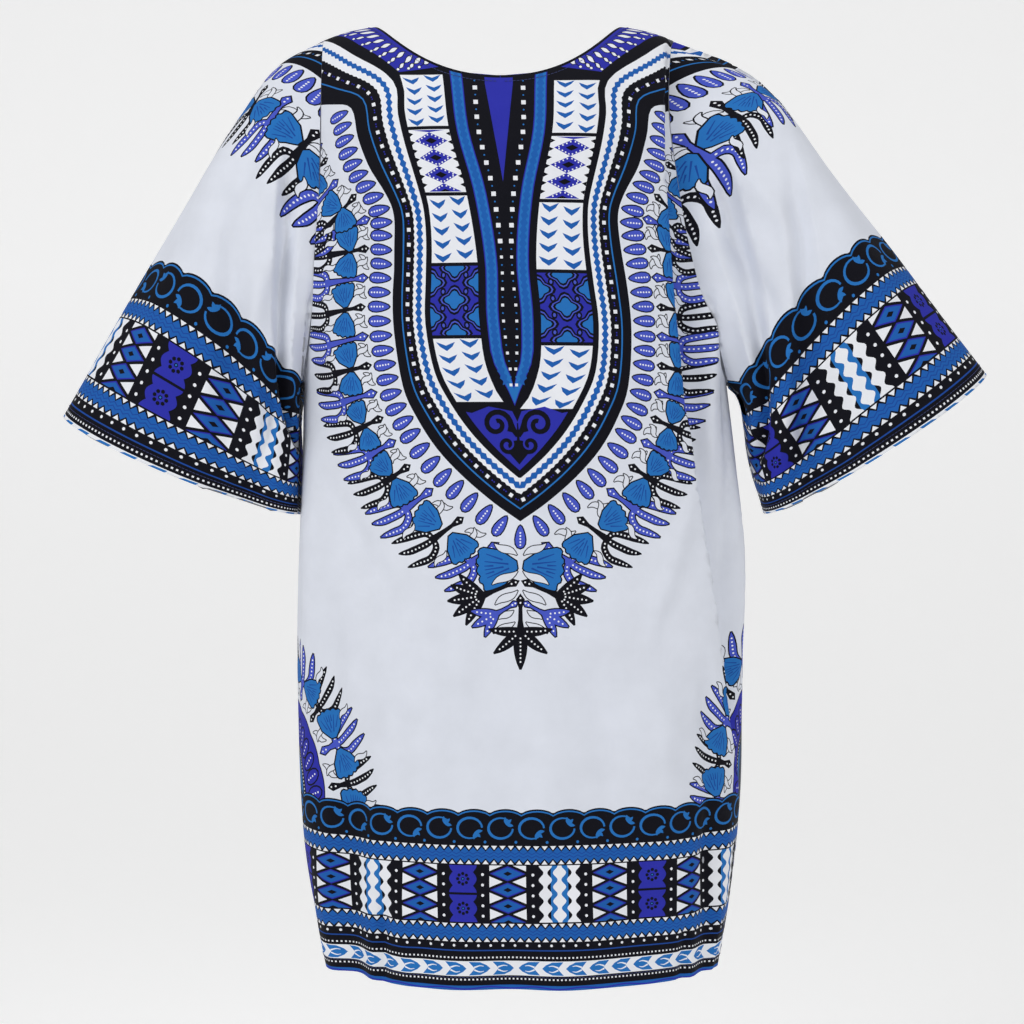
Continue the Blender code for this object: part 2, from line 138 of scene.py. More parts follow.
TORSO_FOLDS = (
    # panel, (p, q) of the start, middle and end, reach, height, steep
    (BACK, (0.163, 0.07), (0.163, 0.33), (0.208, 0.62), 0.042, -0.018, 1),
    (BACK, (-0.150, 0.70), (-0.158, 0.79), (-0.160, 0.88), 0.026, -0.009, 0),
    (BACK, (0.176, 0.74), (0.172, 0.80), (0.176, 0.88), 0.024, -0.008, 0),
    (FRONT, (-0.165, 0.18), (-0.176, 0.36), (-0.198, 0.58), 0.040, -0.013, 0),
    (FRONT, (0.150, 0.66), (0.146, 0.77), (0.150, 0.88), 0.030, -0.009, 0),
    (FRONT, (0.182, 0.24), (0.186, 0.40), (0.204, 0.56), 0.036, -0.011, 0),
)
SLEEVE_FOLDS = (
    # sleeve, (u, w) of the start, middle and end, reach, height
    (LEFT, (-0.42, 0.10), (-0.66, 0.20), (-0.86, 0.42), 0.034, -0.014),
    (LEFT, (-0.44, 0.42), (-0.60, 0.66), (-0.66, 1.05), 0.030, -0.012),
    (LEFT, (0.45, 0.14), (0.64, 0.36), (0.72, 1.05), 0.036, -0.012),
    (RIGHT, (-0.42, 0.10), (-0.68, 0.22), (-0.84, 0.50), 0.034, -0.014),
    (RIGHT, (-0.36, 0.38), (-0.58, 0.52), (-0.74, 0.80), 0.028, -0.012),
    (RIGHT, (0.42, 0.14), (0.60, 0.40), (0.70, 1.05), 0.036, -0.012),
)


def paired(x, y):
    """Points from their two coordinates."""
    return np.stack([x, y], axis=-1)


def smooth_read(x, xs, ys):
    """A smooth curve through the rows of a table: a cubic between each two rows."""
    order = np.argsort(xs)
    xs, ys = xs[order], ys[order]
    slopes = np.gradient(ys, xs)
    x = np.clip(x, xs[0], xs[-1])
    i = np.clip(np.searchsorted(xs, x) - 1, 0, len(xs) - 2)
    step = xs[i + 1] - xs[i]
    t = (x - xs[i]) / step
    return (
        ys[i] * (1 + 2 * t) * (1 - t) ** 2
        + ys[i + 1] * t * t * (3 - 2 * t)
        + step * t * (1 - t) * (slopes[i] * (1 - t) - slopes[i + 1] * t)
    )


def lengths_along(points):
    """How far along a path each of its points lies."""
    steps = np.linalg.norm(np.diff(points, axis=0), axis=1)
    return np.concatenate([[0.0], np.cumsum(steps)])


ANGLES = np.linspace(0, math.pi / 2, 400)
ROUND_HALF, ROUND_DEEP = 0.185, 0.105  # a usual cross-section of the body: half its width, and its depth
ROUND_CURVE = paired(ROUND_HALF * np.sin(ANGLES), ROUND_DEEP * np.cos(ANGLES) ** SIDE_POWER)
ROUND_SHARE = lengths_along(ROUND_CURVE)
HALF_GIRTH = ROUND_SHARE[-1] / ROUND_HALF
ROUND_SHARE = ROUND_SHARE / ROUND_SHARE[-1]
DROP_CURVE = paired(ROUND_DEPTH * np.sin(ANGLES), ROUND_DROP * (1 - np.cos(ANGLES)))
DROP_CLOTH = lengths_along(DROP_CURVE)


def drop_of(q):
    """How far below the shoulder a place q down the cloth lies, and its share of the body's depth there."""
    angle = np.interp(q, DROP_CLOTH, ANGLES)
    past = np.maximum(q - DROP_CLOTH[-1], 0)
    return ROUND_DROP * (1 - np.cos(angle)) + past, np.sin(angle)


def end_share(q):
    """Where the panel ends, as a share of the cloth from its middle to the side of the body."""
    z = -drop_of(q)[0]
    end = np.radians(smooth_read(z, TORSO[:, Z], TORSO[:, END_DEG]))
    share = np.interp(np.clip(end, 0, math.pi / 2), ANGLES, ROUND_SHARE)
    return np.where(q >= UNDERARM_DROP, 1.0, share)


def half_cloth(q):
    """The cloth from the panel's middle to the side of the body."""
    return HALF_GIRTH * smooth_read(-drop_of(q)[0], TORSO[:, Z], TORSO[:, HALF])


def fold_height(across, down, folds):
    """The height of the large folds: bent troughs that fade at both ends, some with one steep side."""
    total = np.zeros_like(across)
    for start, middle, end, reach, height, steep in folds:
        ends = sorted((start, end), key=lambda place: place[1])
        t = np.clip((down - ends[0][1]) / (ends[1][1] - ends[0][1]), -0.25, 1.25)
        bend = middle[0] - (ends[0][0] + ends[1][0]) / 2
        centre = ends[0][0] + (ends[1][0] - ends[0][0]) * t + bend * 4 * t * (1 - t)
        outward = (across - centre) * math.copysign(1, start[0])
        near = reach * np.where(outward < 0, 0.30 if steep else 1.0, 1.0)
        inside = np.clip(1 - (outward / near) ** 2, 0, 1)
        fade = np.clip((t + 0.25) / 0.35, 0, 1) * np.clip((1.25 - t) / 0.35, 0, 1)
        total += height * inside**2 * fade * fade * (3 - 2 * fade)
    return total


def torso_plain(panel, p, q):
    """A panel's surface without folds."""
    drop, share = drop_of(q)
    angle = np.interp(np.abs(p) / half_cloth(q), ROUND_SHARE, ANGLES) * np.sign(p)
    z = -drop
    for _ in range(2):
        x = smooth_read(z, TORSO[:, Z], TORSO[:, MIDDLE]) + smooth_read(
            z, TORSO[:, Z], TORSO[:, HALF]
        ) * np.sin(angle)
        off = np.abs(x - smooth_read(z, TORSO[:, Z], TORSO[:, MIDDLE]))
        z = -drop - SHOULDER_FALL * np.maximum(off - SHOULDER_FLAT, 0) ** 2 * np.clip(1 - drop / 0.3, 0, 1)
    depth = smooth_read(z, TORSO[:, Z], TORSO[:, BACK_DEPTH if panel == BACK else FRONT_DEPTH])
    y = panel * depth * share * np.cos(angle) ** SIDE_POWER
    return np.stack([x, y, z], axis=-1)


def normal_of(surface, a, b, outward_from):
    """The surface's normals, on the side away from the given places."""
    e = 0.0005
    normal = np.cross(surface(a + e, b) - surface(a - e, b), surface(a, b + e) - surface(a, b - e))
    normal /= np.linalg.norm(normal, axis=-1, keepdims=True) + 1e-12
    facing = np.sum(normal * (surface(a, b) - outward_from), axis=-1, keepdims=True)
    return normal * np.where(facing < 0, -1, 1)


def torso_axis(p, q):
    """Places in the middle of the body, level with the cloth."""
    return np.stack([0 * p, 0 * p, -0.08 - drop_of(q)[0]], axis=-1)


def torso_folded(panel, p, q, small_folds=True):
    """The torso's surface with its large folds, and its small ones too when asked."""
    folds = [fold[1:] for fold in TORSO_FOLDS if fold[0] == panel]
    height = fold_height(p, q, folds)
    if small_folds:
        height = height + small_torso_folds(panel, p, q)
    limit = 0.9985 * half_cloth(q)
    safe_p, safe_q = np.clip(p, -limit, limit), np.maximum(q, 0.002)
    plain = lambda a, b: torso_plain(panel, a, b)
    normal = normal_of(plain, safe_p, safe_q, torso_axis(p, q))
    return plain(p, q) + normal * height[..., None]


def armhole(side, u):
    """The armhole's seam, at u round it: 0 at the shoulder, and 1 or -1 under the arm."""
    q = UNDERARM_DROP * np.abs(u)
    p = side * end_share(q) * half_cloth(q)
    back = torso_folded(BACK, p, q, False)
    front = torso_folded(FRONT, p, q, False)
    return np.where((u < 0)[..., None], back, front)


def blunt(turn):
    """A sine with a broader top, for a sleeve's flattened section."""
    return np.abs(np.sin(turn)) ** SLEEVE_POWER


def even_share(side, u):
    """How far down the armhole lies, at u, so that the sleeve's cloth meets it level."""
    row = SLEEVES[side][0]
    z = row[TOP_Z] + (row[UNDER_Z] - row[TOP_Z]) * (1 - np.cos(math.pi * np.abs(u))) / 2
    q = np.linspace(0, UNDERARM_DROP, 200)
    heights = torso_plain(BACK, side * end_share(q) * half_cloth(q), q)[:, 2]
    share = np.interp(-z, -heights, q) / UNDERARM_DROP
    return np.where(np.abs(u) >= 1, 1, share) * np.where(u < 0, -1, 1)


def sleeve_start(side, u):
    """How far the armhole's seam is from the plain sleeve's end."""
    row = SLEEVES[side][0]
    turn = math.pi * np.abs(u)
    down = (1 - np.cos(turn)) / 2
    x = row[TOP_X] + (row[UNDER_X] - row[TOP_X]) * down
    z = row[TOP_Z] + (row[UNDER_Z] - row[TOP_Z]) * down
    y = np.where(u < 0, -1, 1) * row[HALF_DEPTH] * blunt(turn)
    return armhole(side, even_share(side, u)) - np.stack([x, y, z], axis=-1)


def sleeve_plain(side, u, w):
    """A sleeve's surface without folds: u round it from its top, and w from the armhole to the cuff."""
    rows = SLEEVES[side]
    read = {name: smooth_read(w, rows[:, W], rows[:, name]) for name in range(1, 8)}
    turn = math.pi * np.abs(u)
    down = (1 - np.cos(turn)) / 2
    x = read[TOP_X] + (read[UNDER_X] - read[TOP_X]) * down
    z = read[TOP_Z] + (read[UNDER_Z] - read[TOP_Z]) * down - read[SAG] * np.sin(turn)
    y = np.where(u < 0, -1, 1) * read[HALF_DEPTH] * blunt(turn) - read[SET_BACK] * np.sin(turn)
    fade = np.clip(1 - w / 0.45, 0, 1)[..., None]
    return np.stack([x, y, z], axis=-1) + sleeve_start(side, u) * fade * fade * (3 - 2 * fade)


def sleeve_axis(side, w):
    """Places in the middle of the sleeve."""
    rows = SLEEVES[side]
    x = (smooth_read(w, rows[:, W], rows[:, TOP_X]) + smooth_read(w, rows[:, W], rows[:, UNDER_X])) / 2
    z = (smooth_read(w, rows[:, W], rows[:, TOP_Z]) + smooth_read(w, rows[:, W], rows[:, UNDER_Z])) / 2
    return np.stack([x, 0 * w, z], axis=-1)


def off_torso(points, w):
    """Places on a sleeve, moved out where they would touch the body of the shirt."""
    z = points[..., 2]
    middle = smooth_read(z, TORSO[:, Z], TORSO[:, MIDDLE])
    half = smooth_read(z, TORSO[:, Z], TORSO[:, HALF])
    depth = smooth_read(z, TORSO[:, Z], TORSO[:, FRONT_DEPTH])
    out = points[..., 0] - middle
    across = np.clip(np.abs(points[..., 1]) / depth, 0, 0.98)
    least = half * np.sin(np.arccos(across ** (1 / SIDE_POWER))) + SLEEVE_CLEAR * np.clip(w / 0.05, 0, 1)
    under = np.clip((-z - 0.23) / 0.02, 0, 1) * np.clip(w / 0.01, 0, 1)
    moved = points.copy()
    moved[..., 0] += np.sign(out) * np.maximum(least - np.abs(out), 0) * under
    return moved


def sleeve_folded(side, u, w):
    """A sleeve's surface with all its folds."""
    folds = [
        tuple((place[0] * CUFF_HALF, place[1] * SLEEVE_RUN) for place in fold[1:4]) + (fold[4], fold[5], 0)
        for fold in SLEEVE_FOLDS
        if fold[0] == side
    ]
    near_seam = np.clip(w / 0.12, 0, 1) * np.clip((1 - np.abs(u)) / 0.08, 0, 1)
    height = fold_height(u * CUFF_HALF, w * SLEEVE_RUN, folds) + small_sleeve_folds(side, u, w)
    plain = lambda a, b: sleeve_plain(side, a, b)
    normal = normal_of(plain, u, w, sleeve_axis(side, w))
    moved = off_torso(plain(u, w) + normal * (height * near_seam)[..., None], w)
    seam = np.clip(1 - w / 0.02, 0, 1)
    moved[..., 0] += side * (SEAM_GAP + UNDERARM_EASE * u**4) * seam
    return moved


# ---------------------------------------------------------------- the small creases

CREASES = (
    # panel, start (p, q), end (p, q), reach, height: soft troughs and ridges of pressed and worn cloth
    (BACK, (-0.085, 0.098), (-0.045, 0.118), 0.010, -0.0013),
    (BACK, (-0.012, 0.131), (0.008, 0.137), 0.008, -0.0012),
    (BACK, (-0.013, 0.112), (0.012, 0.108), 0.006, 0.0009),
    (BACK, (0.040, 0.128), (0.078, 0.106), 0.009, 0.0012),
    (BACK, (-0.140, 0.160), (-0.060, 0.200), 0.020, 0.0028),
    (BACK, (-0.170, 0.235), (-0.080, 0.260), 0.022, -0.0026),
    (BACK, (-0.185, 0.300), (-0.120, 0.400), 0.018, 0.0030),
    (BACK, (0.080, 0.170), (0.150, 0.130), 0.018, -0.0028),
    (BACK, (0.176, 0.250), (0.150, 0.400), 0.012, -0.0042),
    (BACK, (0.196, 0.240), (0.185, 0.470), 0.011, 0.0048),
    (BACK, (0.212, 0.300), (0.205, 0.560), 0.010, -0.0040),
    (BACK, (-0.060, 0.520), (-0.050, 0.700), 0.022, 0.0038),
    (BACK, (0.060, 0.560), (0.082, 0.740), 0.024, -0.0044),
    (BACK, (-0.120, 0.480), (-0.110, 0.700), 0.022, 0.0044),
    (BACK, (0.020, 0.600), (0.010, 0.860), 0.030, 0.0028),
    (BACK, (-0.195, 0.380), (-0.205, 0.640), 0.020, 0.0046),
    (BACK, (-0.170, 0.520), (-0.165, 0.740), 0.016, -0.0034),
    (BACK, (0.122, 0.560), (0.130, 0.860), 0.024, 0.0036),
    (BACK, (0.168, 0.560), (0.176, 0.860), 0.013, -0.0038),
    (BACK, (0.226, 0.400), (0.232, 0.700), 0.014, 0.0045),
    (BACK, (-0.122, 0.770), (-0.126, 0.880), 0.009, -0.0050),
    (BACK, (0.150, 0.800), (0.142, 0.880), 0.008, -0.0042),
    (BACK, (0.186, 0.790), (0.180, 0.880), 0.008, 0.0040),
    (BACK, (-0.175, 0.430), (-0.090, 0.560), 0.013, -0.0026),
    (BACK, (0.165, 0.420), (0.100, 0.600), 0.014, 0.0030),
    (BACK, (-0.105, 0.760), (-0.100, 0.880), 0.014, 0.0032),
    (FRONT, (-0.100, 0.200), (-0.020, 0.260), 0.030, 0.0026),
    (FRONT, (0.110, 0.190), (0.040, 0.300), 0.034, -0.0028),
    (FRONT, (-0.070, 0.460), (-0.050, 0.780), 0.042, -0.0032),
    (FRONT, (0.050, 0.500), (0.075, 0.860), 0.044, 0.0034),
    (FRONT, (-0.140, 0.500), (-0.130, 0.860), 0.038, 0.0034),
    (FRONT, (0.010, 0.560), (0.000, 0.870), 0.036, -0.0026),
)
SLEEVE_CREASES = (
    # sleeve, start (u, w), end (u, w), reach, height
    (LEFT, (-0.24, 0.30), (-0.40, 1.05), 0.030, 0.0040),
    (LEFT, (-0.10, 0.36), (-0.16, 0.98), 0.026, -0.0022),
    (LEFT, (-0.61, 0.38), (-0.64, 1.05), 0.012, 0.0085),
    (LEFT, (-0.68, 0.38), (-0.73, 1.05), 0.010, -0.0075),
    (LEFT, (-0.46, 0.05), (-0.52, 0.42), 0.015, 0.0050),
    (LEFT, (-0.30, 0.05), (-0.34, 0.36), 0.014, -0.0042),
    (LEFT, (0.20, 0.30), (0.30, 1.05), 0.034, 0.0040),
    (RIGHT, (-0.20, 0.34), (-0.34, 1.05), 0.032, 0.0038),
    (RIGHT, (-0.08, 0.40), (-0.14, 1.00), 0.026, -0.0022),
    (RIGHT, (-0.52, 0.50), (-0.60, 1.05), 0.015, 0.0070),
    (RIGHT, (-0.64, 0.52), (-0.72, 1.05), 0.012, -0.0064),
    (RIGHT, (-0.34, 0.05), (-0.40, 0.45), 0.015, 0.0050),
    (RIGHT, (-0.50, 0.05), (-0.56, 0.42), 0.012, -0.0046),
    (RIGHT, (0.22, 0.30), (0.32, 1.05), 0.034, 0.0040),
)


def crease_height(across, down, creases):
    """Soft troughs and ridges along straight runs, fading at both ends."""
    total = np.zeros_like(across)
    for start, end, reach, height in creases:
        run = np.array(end) - np.array(start)
        length = float(np.hypot(*run))
        along = ((across - start[0]) * run[0] + (down - start[1]) * run[1]) / length**2
        off = ((across - start[0]) * run[1] - (down - start[1]) * run[0]) / length
        fade = np.clip(along / 0.3, 0, 1) * np.clip((1 - along) / 0.3, 0, 1)
        total += height * np.exp(-((off / reach) ** 2) * 2.2) * fade * fade * (3 - 2 * fade)
    return total


def waviness(across, down, seed):
    """Broad, shallow unevenness of limp cotton."""
    total = np.zeros_like(across)
    for i, (wave_a, wave_d) in enumerate(((0.19, 0.27), (0.11, 0.23), (0.083, 0.145), (0.061, 0.31))):
        shift = seed * 1.7 + i * 2.1
        total += np.sin(across * 2 * math.pi / wave_a + shift) * np.sin(
            down * 2 * math.pi / wave_d + shift * 1.3
        ) * (0.0016 / (1 + i))
    return total


def small_torso_folds(panel, p, q):
    """Creases, unevenness and the hem's flutes, which fade out at the neck and the seams."""
    creases = [crease[1:] for crease in CREASES if crease[0] == panel]
    quiet = np.clip(q / 0.06, 0, 1) * np.clip((half_cloth(q) - np.abs(p)) / 0.03, 0, 1)
    quiet = quiet * np.clip((q - neck_drop(panel, p)) / 0.05, 0, 1)
    hem = np.clip((q - 0.62) / 0.24, 0, 1)
    flutes = 0.0030 * hem * hem * np.sin(p * 2 * math.pi / 0.118 + panel + 0.6 * np.sin(p * 31))
    return quiet * (crease_height(p, q, creases) + waviness(p, q, panel + 2) + flutes)


def small_sleeve_folds(side, u, w):
    """A sleeve's creases and unevenness."""
    scale = np.array([CUFF_HALF, SLEEVE_RUN])
    g, d = u * CUFF_HALF, w * SLEEVE_RUN
    creases = [
        (start * scale, end * scale, reach, height)
        for sleeve, start, end, reach, height in SLEEVE_CREASES
        if sleeve == side
    ]
    return crease_height(g, d, creases) + 0.7 * waviness(g, d, side + 5)


# ---------------------------------------------------------------- drawing the print

GROUND = (0.700, 0.728, 0.800)
BLACK = (0.003, 0.003, 0.007)
ROYAL = (0.024, 0.028, 0.36)
PERIWINKLE = (0.062, 0.092, 0.52)
SKY = (0.018, 0.155, 0.47)
MID_BLUE = (0.012, 0.105, 0.40)
DEEP_BLUE = (0.010, 0.060, 0.30)
WHITE = (0.790, 0.806, 0.850)
REVERSE_SHOWS = 0.5  # how strongly the print strikes through
CUT_EDGE_SHADE = 0.3  # the cut edge lies deep in the seam
BOLD_AREA = 0.0006  # shapes smaller than this don't show on the reverse
LONGEST_EDGE = 0.005  # of a printed outline
PANEL_PITCH, SLEEVE_PITCH = 0.0062, 0.0034  # between points on plain cloth
DOT = 0.00085  # the radius of the small white dots
HEM_STITCH, CUFF_STITCH, NECK_STITCH = 0.0110, 0.0100, 0.0060  # how far each row of stitches is from its edge


class Drawing:
    """The printed shapes of one flat piece, in order: a later one covers an earlier one."""

    def __init__(self):
        self.outlines = []
        self.colours = []

    def shape(self, points, colour):
        points = np.asarray(points, float)
        if len(points) >= 3:
            points = short_edged(points)
            self.outlines.append(points if area_of(points) > 0 else points[::-1])
            self.colours.append(colour)

    def bold(self):
        """The larger shapes only, which are what strikes through to the reverse."""
        reverse = Drawing()
        for outline, colour in zip(self.outlines, self.colours):
            if area_of(outline) > BOLD_AREA:
                reverse.shape(outline, colour)
        return reverse

    def lined(self, points, fill, line):
        """A shape with a black line of that thickness round it."""
        self.shape(grown(points, line), BLACK)
        self.shape(points, fill)

    def dots(self, places, radius, colour=WHITE):
        for place in places:
            self.shape(ring(place, radius, 6), colour)

    def squares(self, places, size, turn=0.0, colour=WHITE):
        for place in places:
            self.shape(ring(place, size, 4, turn), colour)


def short_edged(points):
    """The same outline with points added on its long edges, so that it can follow the drape."""
    steps = np.roll(points, -1, axis=0) - points
    parts = np.maximum(np.ceil(np.hypot(*steps.T) / LONGEST_EDGE).astype(int), 1)
    if parts.max() == 1:
        return points
    return np.concatenate([a + step * np.arange(n)[:, None] / n for a, step, n in zip(points, steps, parts)])


def read_along(at, along, path):
    """Places on a path, at values between those given for its points."""
    return paired(np.interp(at, along, path[:, 0]), np.interp(at, along, path[:, 1]))


def left_of(runs):
    """Directions turned a quarter to the left."""
    return paired(-runs[:, 1], runs[:, 0])


def ring(centre, radius, sides, turn=0.0):
    """The corners of a regular shape with that many sides."""
    angle = turn + 2 * math.pi * np.arange(sides) / sides
    return paired(centre[0] + radius * np.cos(angle), centre[1] + radius * np.sin(angle))


def oblong(left, right, low, high):
    return [(left, low), (right, low), (right, high), (left, high)]


def diamond(x, y, wide, tall):
    """Four corners, with half the width and half the height."""
    return [(x, y - tall), (x + wide, y), (x, y + tall), (x - wide, y)]


def area_of(points):
    """The area inside an outline, positive when it runs anticlockwise."""
    x, y = points[:, 0], points[:, 1]
    return 0.5 * float(np.sum(x * np.roll(y, -1) - y * np.roll(x, -1)))


def grown(points, by):
    """A closed outline moved out by a distance."""
    points = np.asarray(points, float)
    ahead = np.roll(points, -1, axis=0) - points
    ahead /= np.linalg.norm(ahead, axis=1, keepdims=True) + 1e-12
    edge_normal = -left_of(ahead) * math.copysign(1, area_of(points))
    normal = edge_normal + np.roll(edge_normal, 1, axis=0)
    size = np.linalg.norm(normal, axis=1, keepdims=True)
    stretch = np.minimum(2 / np.maximum(size, 0.9), 1.9)
    return points + by * stretch * normal / np.maximum(size, 1e-9)


def ribbon(path, widths):
    """A band along a path: its width at each point, or one width for all."""
    path = np.asarray(path, float)
    widths = np.broadcast_to(np.asarray(widths, float), len(path))
    tangent = np.gradient(path, axis=0)
    tangent /= np.linalg.norm(tangent, axis=1, keepdims=True) + 1e-12
    normal = left_of(tangent)
    half = normal * widths[:, None] / 2
    return np.concatenate([path + half, (path - half)[::-1]])


def smooth_path(points, between=4):
    """A curve through points, with that many steps between each two."""
    points = np.asarray(points, float)
    steps = np.arange(len(points), dtype=float)
    fine = np.linspace(0, len(points) - 1, (len(points) - 1) * between + 1)
    return np.stack([smooth_read(fine, steps, points[:, i]) for i in range(points.shape[1])], axis=1)


def even_places(path, pitch):
    """Places along a path at a pitch, with the direction of the path at each."""
    along = lengths_along(path)
    count = max(int(along[-1] / pitch), 1)
    at = (np.arange(count) + 0.5) * along[-1] / count
    places = read_along(at, along, path)
    tangent = read_along(at, along, np.gradient(path, axis=0))
    return places, tangent / (np.linalg.norm(tangent, axis=1, keepdims=True) + 1e-12)


def placed(points, at, outward, size=1.0, flip=1):
    """A shape drawn with its own y outward, put at a place and turned to face a direction."""
    points = np.asarray(points, float) * size
    outward = np.asarray(outward, float) / (np.hypot(*outward) + 1e-12)
    across = np.array([outward[1], -outward[0]]) * flip
    return np.asarray(at) + points[:, :1] * across + points[:, 1:] * outward


def petal(drawing, at, outward, length=0.0192, width=0.0100):
    """A teardrop that points inwards, with a row of dots."""
    turn = np.linspace(0, 2 * math.pi, 14, endpoint=False)
    rise = (1 - np.cos(turn)) / 2
    shape = paired(width / 2 * np.sin(turn) * (0.50 + 0.62 * rise), length * rise)
    drawing.lined(placed(shape, at, outward), PERIWINKLE, 0.0011)
    row = paired(np.zeros(5), np.linspace(0.32, 0.86, 5) * length)
    drawing.dots(placed(row, at, outward), DOT)


def leaf(drawing, at, outward, length=0.016, width=0.0062, bend=0.0028, fill=GROUND):
    """A slim leaf with a slight double bend."""
    t = np.linspace(0, 1, 9)
    spine = paired(bend * np.sin(2 * math.pi * t) * 0.5, length * t)
    shape = ribbon(spine, width * np.sin(math.pi * np.clip(t, 0.015, 0.985)) ** 0.9)
    drawing.lined(placed(shape, at, outward), fill, 0.0008)


# Each stroke's turn from the middle of the fan, and where it starts.
FAN_STROKES = (
    (-0.50, 0.009),
    (-0.26, 0.005),
    (0.0, 0.008),
    (0.26, 0.005),
    (0.50, 0.009),
    (-0.12, 0.014),
    (0.13, 0.014),
)


def fan_flower(drawing, at, outward, size=1.0):
    """A fan from a narrow base to five soft lobes, with dark strokes along it."""
    spread = np.linspace(-1.0, 1.0, 19)
    reach = 0.0222 + 0.0020 * np.abs(np.cos(spread * 2.5 * math.pi))
    edge = paired(reach * np.sin(spread * 0.70) * 0.92, reach * np.cos(spread * 0.62))
    sides = [(-0.0100, 0.0085), (-0.0022, 0.0), (0.0022, 0.0), (0.0100, 0.0085)]
    drawing.lined(placed(np.concatenate([sides, edge[::-1]]), at, outward, size), SKY, 0.0012)
    for turn, start in FAN_STROKES:
        run = np.outer((start, 0.0195), (math.sin(turn), math.cos(turn)))
        drawing.shape(placed(ribbon(run, (0.0011, 0.0005)), at, outward, size), DEEP_BLUE)


def dotted_lobes(drawing, lobes, at, outward, dark, size, flip, extra=()):
    """Lobes with pointed tips that join at their base, each with a line of dots along it."""
    fill, line = (BLACK, 0.0004) if dark else (PERIWINKLE, 0.0011)
    shapes = list(extra) + [ribbon(path, widths) for path, widths in lobes]
    for shape in shapes:
        drawing.shape(grown(placed(shape, at, outward, size, flip), line), BLACK)
    for shape in shapes:
        drawing.shape(placed(shape, at, outward, size, flip), fill)
    for path, _ in lobes:
        places, _ = even_places(path[1:-1], 0.0033 / size)
        drawing.dots(placed(places, at, outward, size, flip), DOT)


def tulip(drawing, at, outward, dark, size=1.0, stem=0.027, flip=1, bend=0.006):
    """A dotted bud, a stem, and a head of three long dotted prongs, the outer two spread like a lyre."""
    bud = [(0, -0.001), (0.0034, 0.0030), (0.0014, 0.0105), (-0.0014, 0.0105), (-0.0034, 0.0030)]
    stalk = ribbon([(0, 0.008), (0, stem * 0.6), (0, stem + 0.003)], (0.0024, 0.0030, 0.0060))
    lobes = []
    for side in (-1, 1):
        x = np.array([0.0, 0.0075, 0.0118, 0.0125, 0.0125]) * side
        y = (0.001, 0.0035, 0.0125, 0.0230, 0.0335)
        lobes.append(paired(x + bend * np.array([0, 0, 0, 0.5, 1]), y))
    lobes.append(paired(bend * np.array([0, 0, 0.25, 0.6, 1.25]), (0.001, 0.0080, 0.0165, 0.0250, 0.0335)))
    known_at = (0, 0.25, 0.7, 0.9, 1)
    widths = np.interp(np.linspace(0, 1, 13), known_at, (0.0040, 0.0054, 0.0056, 0.0034, 0.0004))
    drawn = [(smooth_path(np.array(lobe) + (0, stem), 3), widths) for lobe in lobes]
    dotted_lobes(drawing, drawn, at, outward, dark, size, flip, (bud, stalk))
    drawing.dots(placed([(0, 0.0020), (0, 0.0058)], at, outward, size, flip), DOT)


def lotus(drawing, at, outward, dark, size=1.0, stem=0.020, turns=(-1.45, -0.78, 0.0, 0.78, 1.45), flip=1):
    """A dotted bud, a stem and a fan of pointed lobes."""
    bud = [(0, -0.001), (0.0030, 0.0030), (0.0012, 0.0090), (-0.0012, 0.0090), (-0.0030, 0.0030)]
    stalk = ribbon([(0, 0.007), (0, stem * 0.7), (0, stem + 0.004)], (0.0022, 0.0028, 0.0070))
    lobes = []
    for turn in turns:
        t = np.linspace(0, 1, 8)
        length = 0.0290 - 0.0035 * abs(turn)
        droop = 0.12 * turn * t
        spine = paired(length * t * np.sin(turn + droop), stem + length * t * np.cos(turn + droop))
        widths = 0.0100 * np.sin(math.pi * np.clip(0.22 + 0.76 * t, 0, 0.99)) ** 0.8 * (1 - 0.22 * abs(turn))
        lobes.append((spine, widths))
    dotted_lobes(drawing, lobes, at, outward, dark, size, flip, (bud, stalk))
    drawing.dots(placed([(0, 0.0020), (0, 0.0056)], at, outward, size, flip), DOT)


# The neck motif on a panel: its outer edge and its inner edge, half of each, from the shoulder to the tip.
MOTIF = np.array(
    [
        # outer_p, outer_q, inner_p, inner_q
        (0.2300, 0.074, 0.190, -0.040),
        (0.1830, 0.088, 0.165, 0.000),
        (0.1550, 0.097, 0.130, 0.045),
        (0.1340, 0.107, 0.089, 0.083),
        (0.1280, 0.135, 0.0855, 0.115),
        (0.1190, 0.160, 0.0800, 0.145),
        (0.1038, 0.1865, 0.0696, 0.1865),
        (0.0977, 0.205, 0.0670, 0.205),
        (0.0986, 0.230, 0.0665, 0.230),
        (0.1025, 0.2685, 0.0685, 0.262),
        (0.1033, 0.306, 0.0710, 0.298),
        (0.0973, 0.352, 0.0655, 0.338),
        (0.0863, 0.379, 0.0530, 0.365),
        (0.0700, 0.406, 0.0380, 0.388),
        (0.0482, 0.430, 0.0225, 0.406),
        (0.0226, 0.452, 0.0095, 0.4185),
        (0.0000, 0.468, 0.0000, 0.427),
    ]
)
# The placket: half its width, to the outside of its black edge, from the neck to its tip.
PLACKET = np.array(
    [
        # q,    half
        (0.040, 0.0510),
        (0.085, 0.0470),
        (0.130, 0.0436),
        (0.1865, 0.0307),
        (0.2465, 0.0239),
        (0.300, 0.0250),
        (0.343, 0.0195),
        (0.366, 0.0085),
        (0.3755, 0.0000),
    ]
)
PLACKET_AXIS = -0.0015
PLACKET_START = 0.03
MOTIF_SMOOTH = smooth_path(MOTIF, 4)
OVER_NECK = np.array([(0.20, -0.12), (-0.20, -0.12)])  # closes an outline above the neck edge


def motif_half(share):
    """Half of the motif's outline at a share of the way from its outer edge to its inner one."""
    return MOTIF_SMOOTH[:, :2] * (1 - share) + MOTIF_SMOOTH[:, 2:] * share


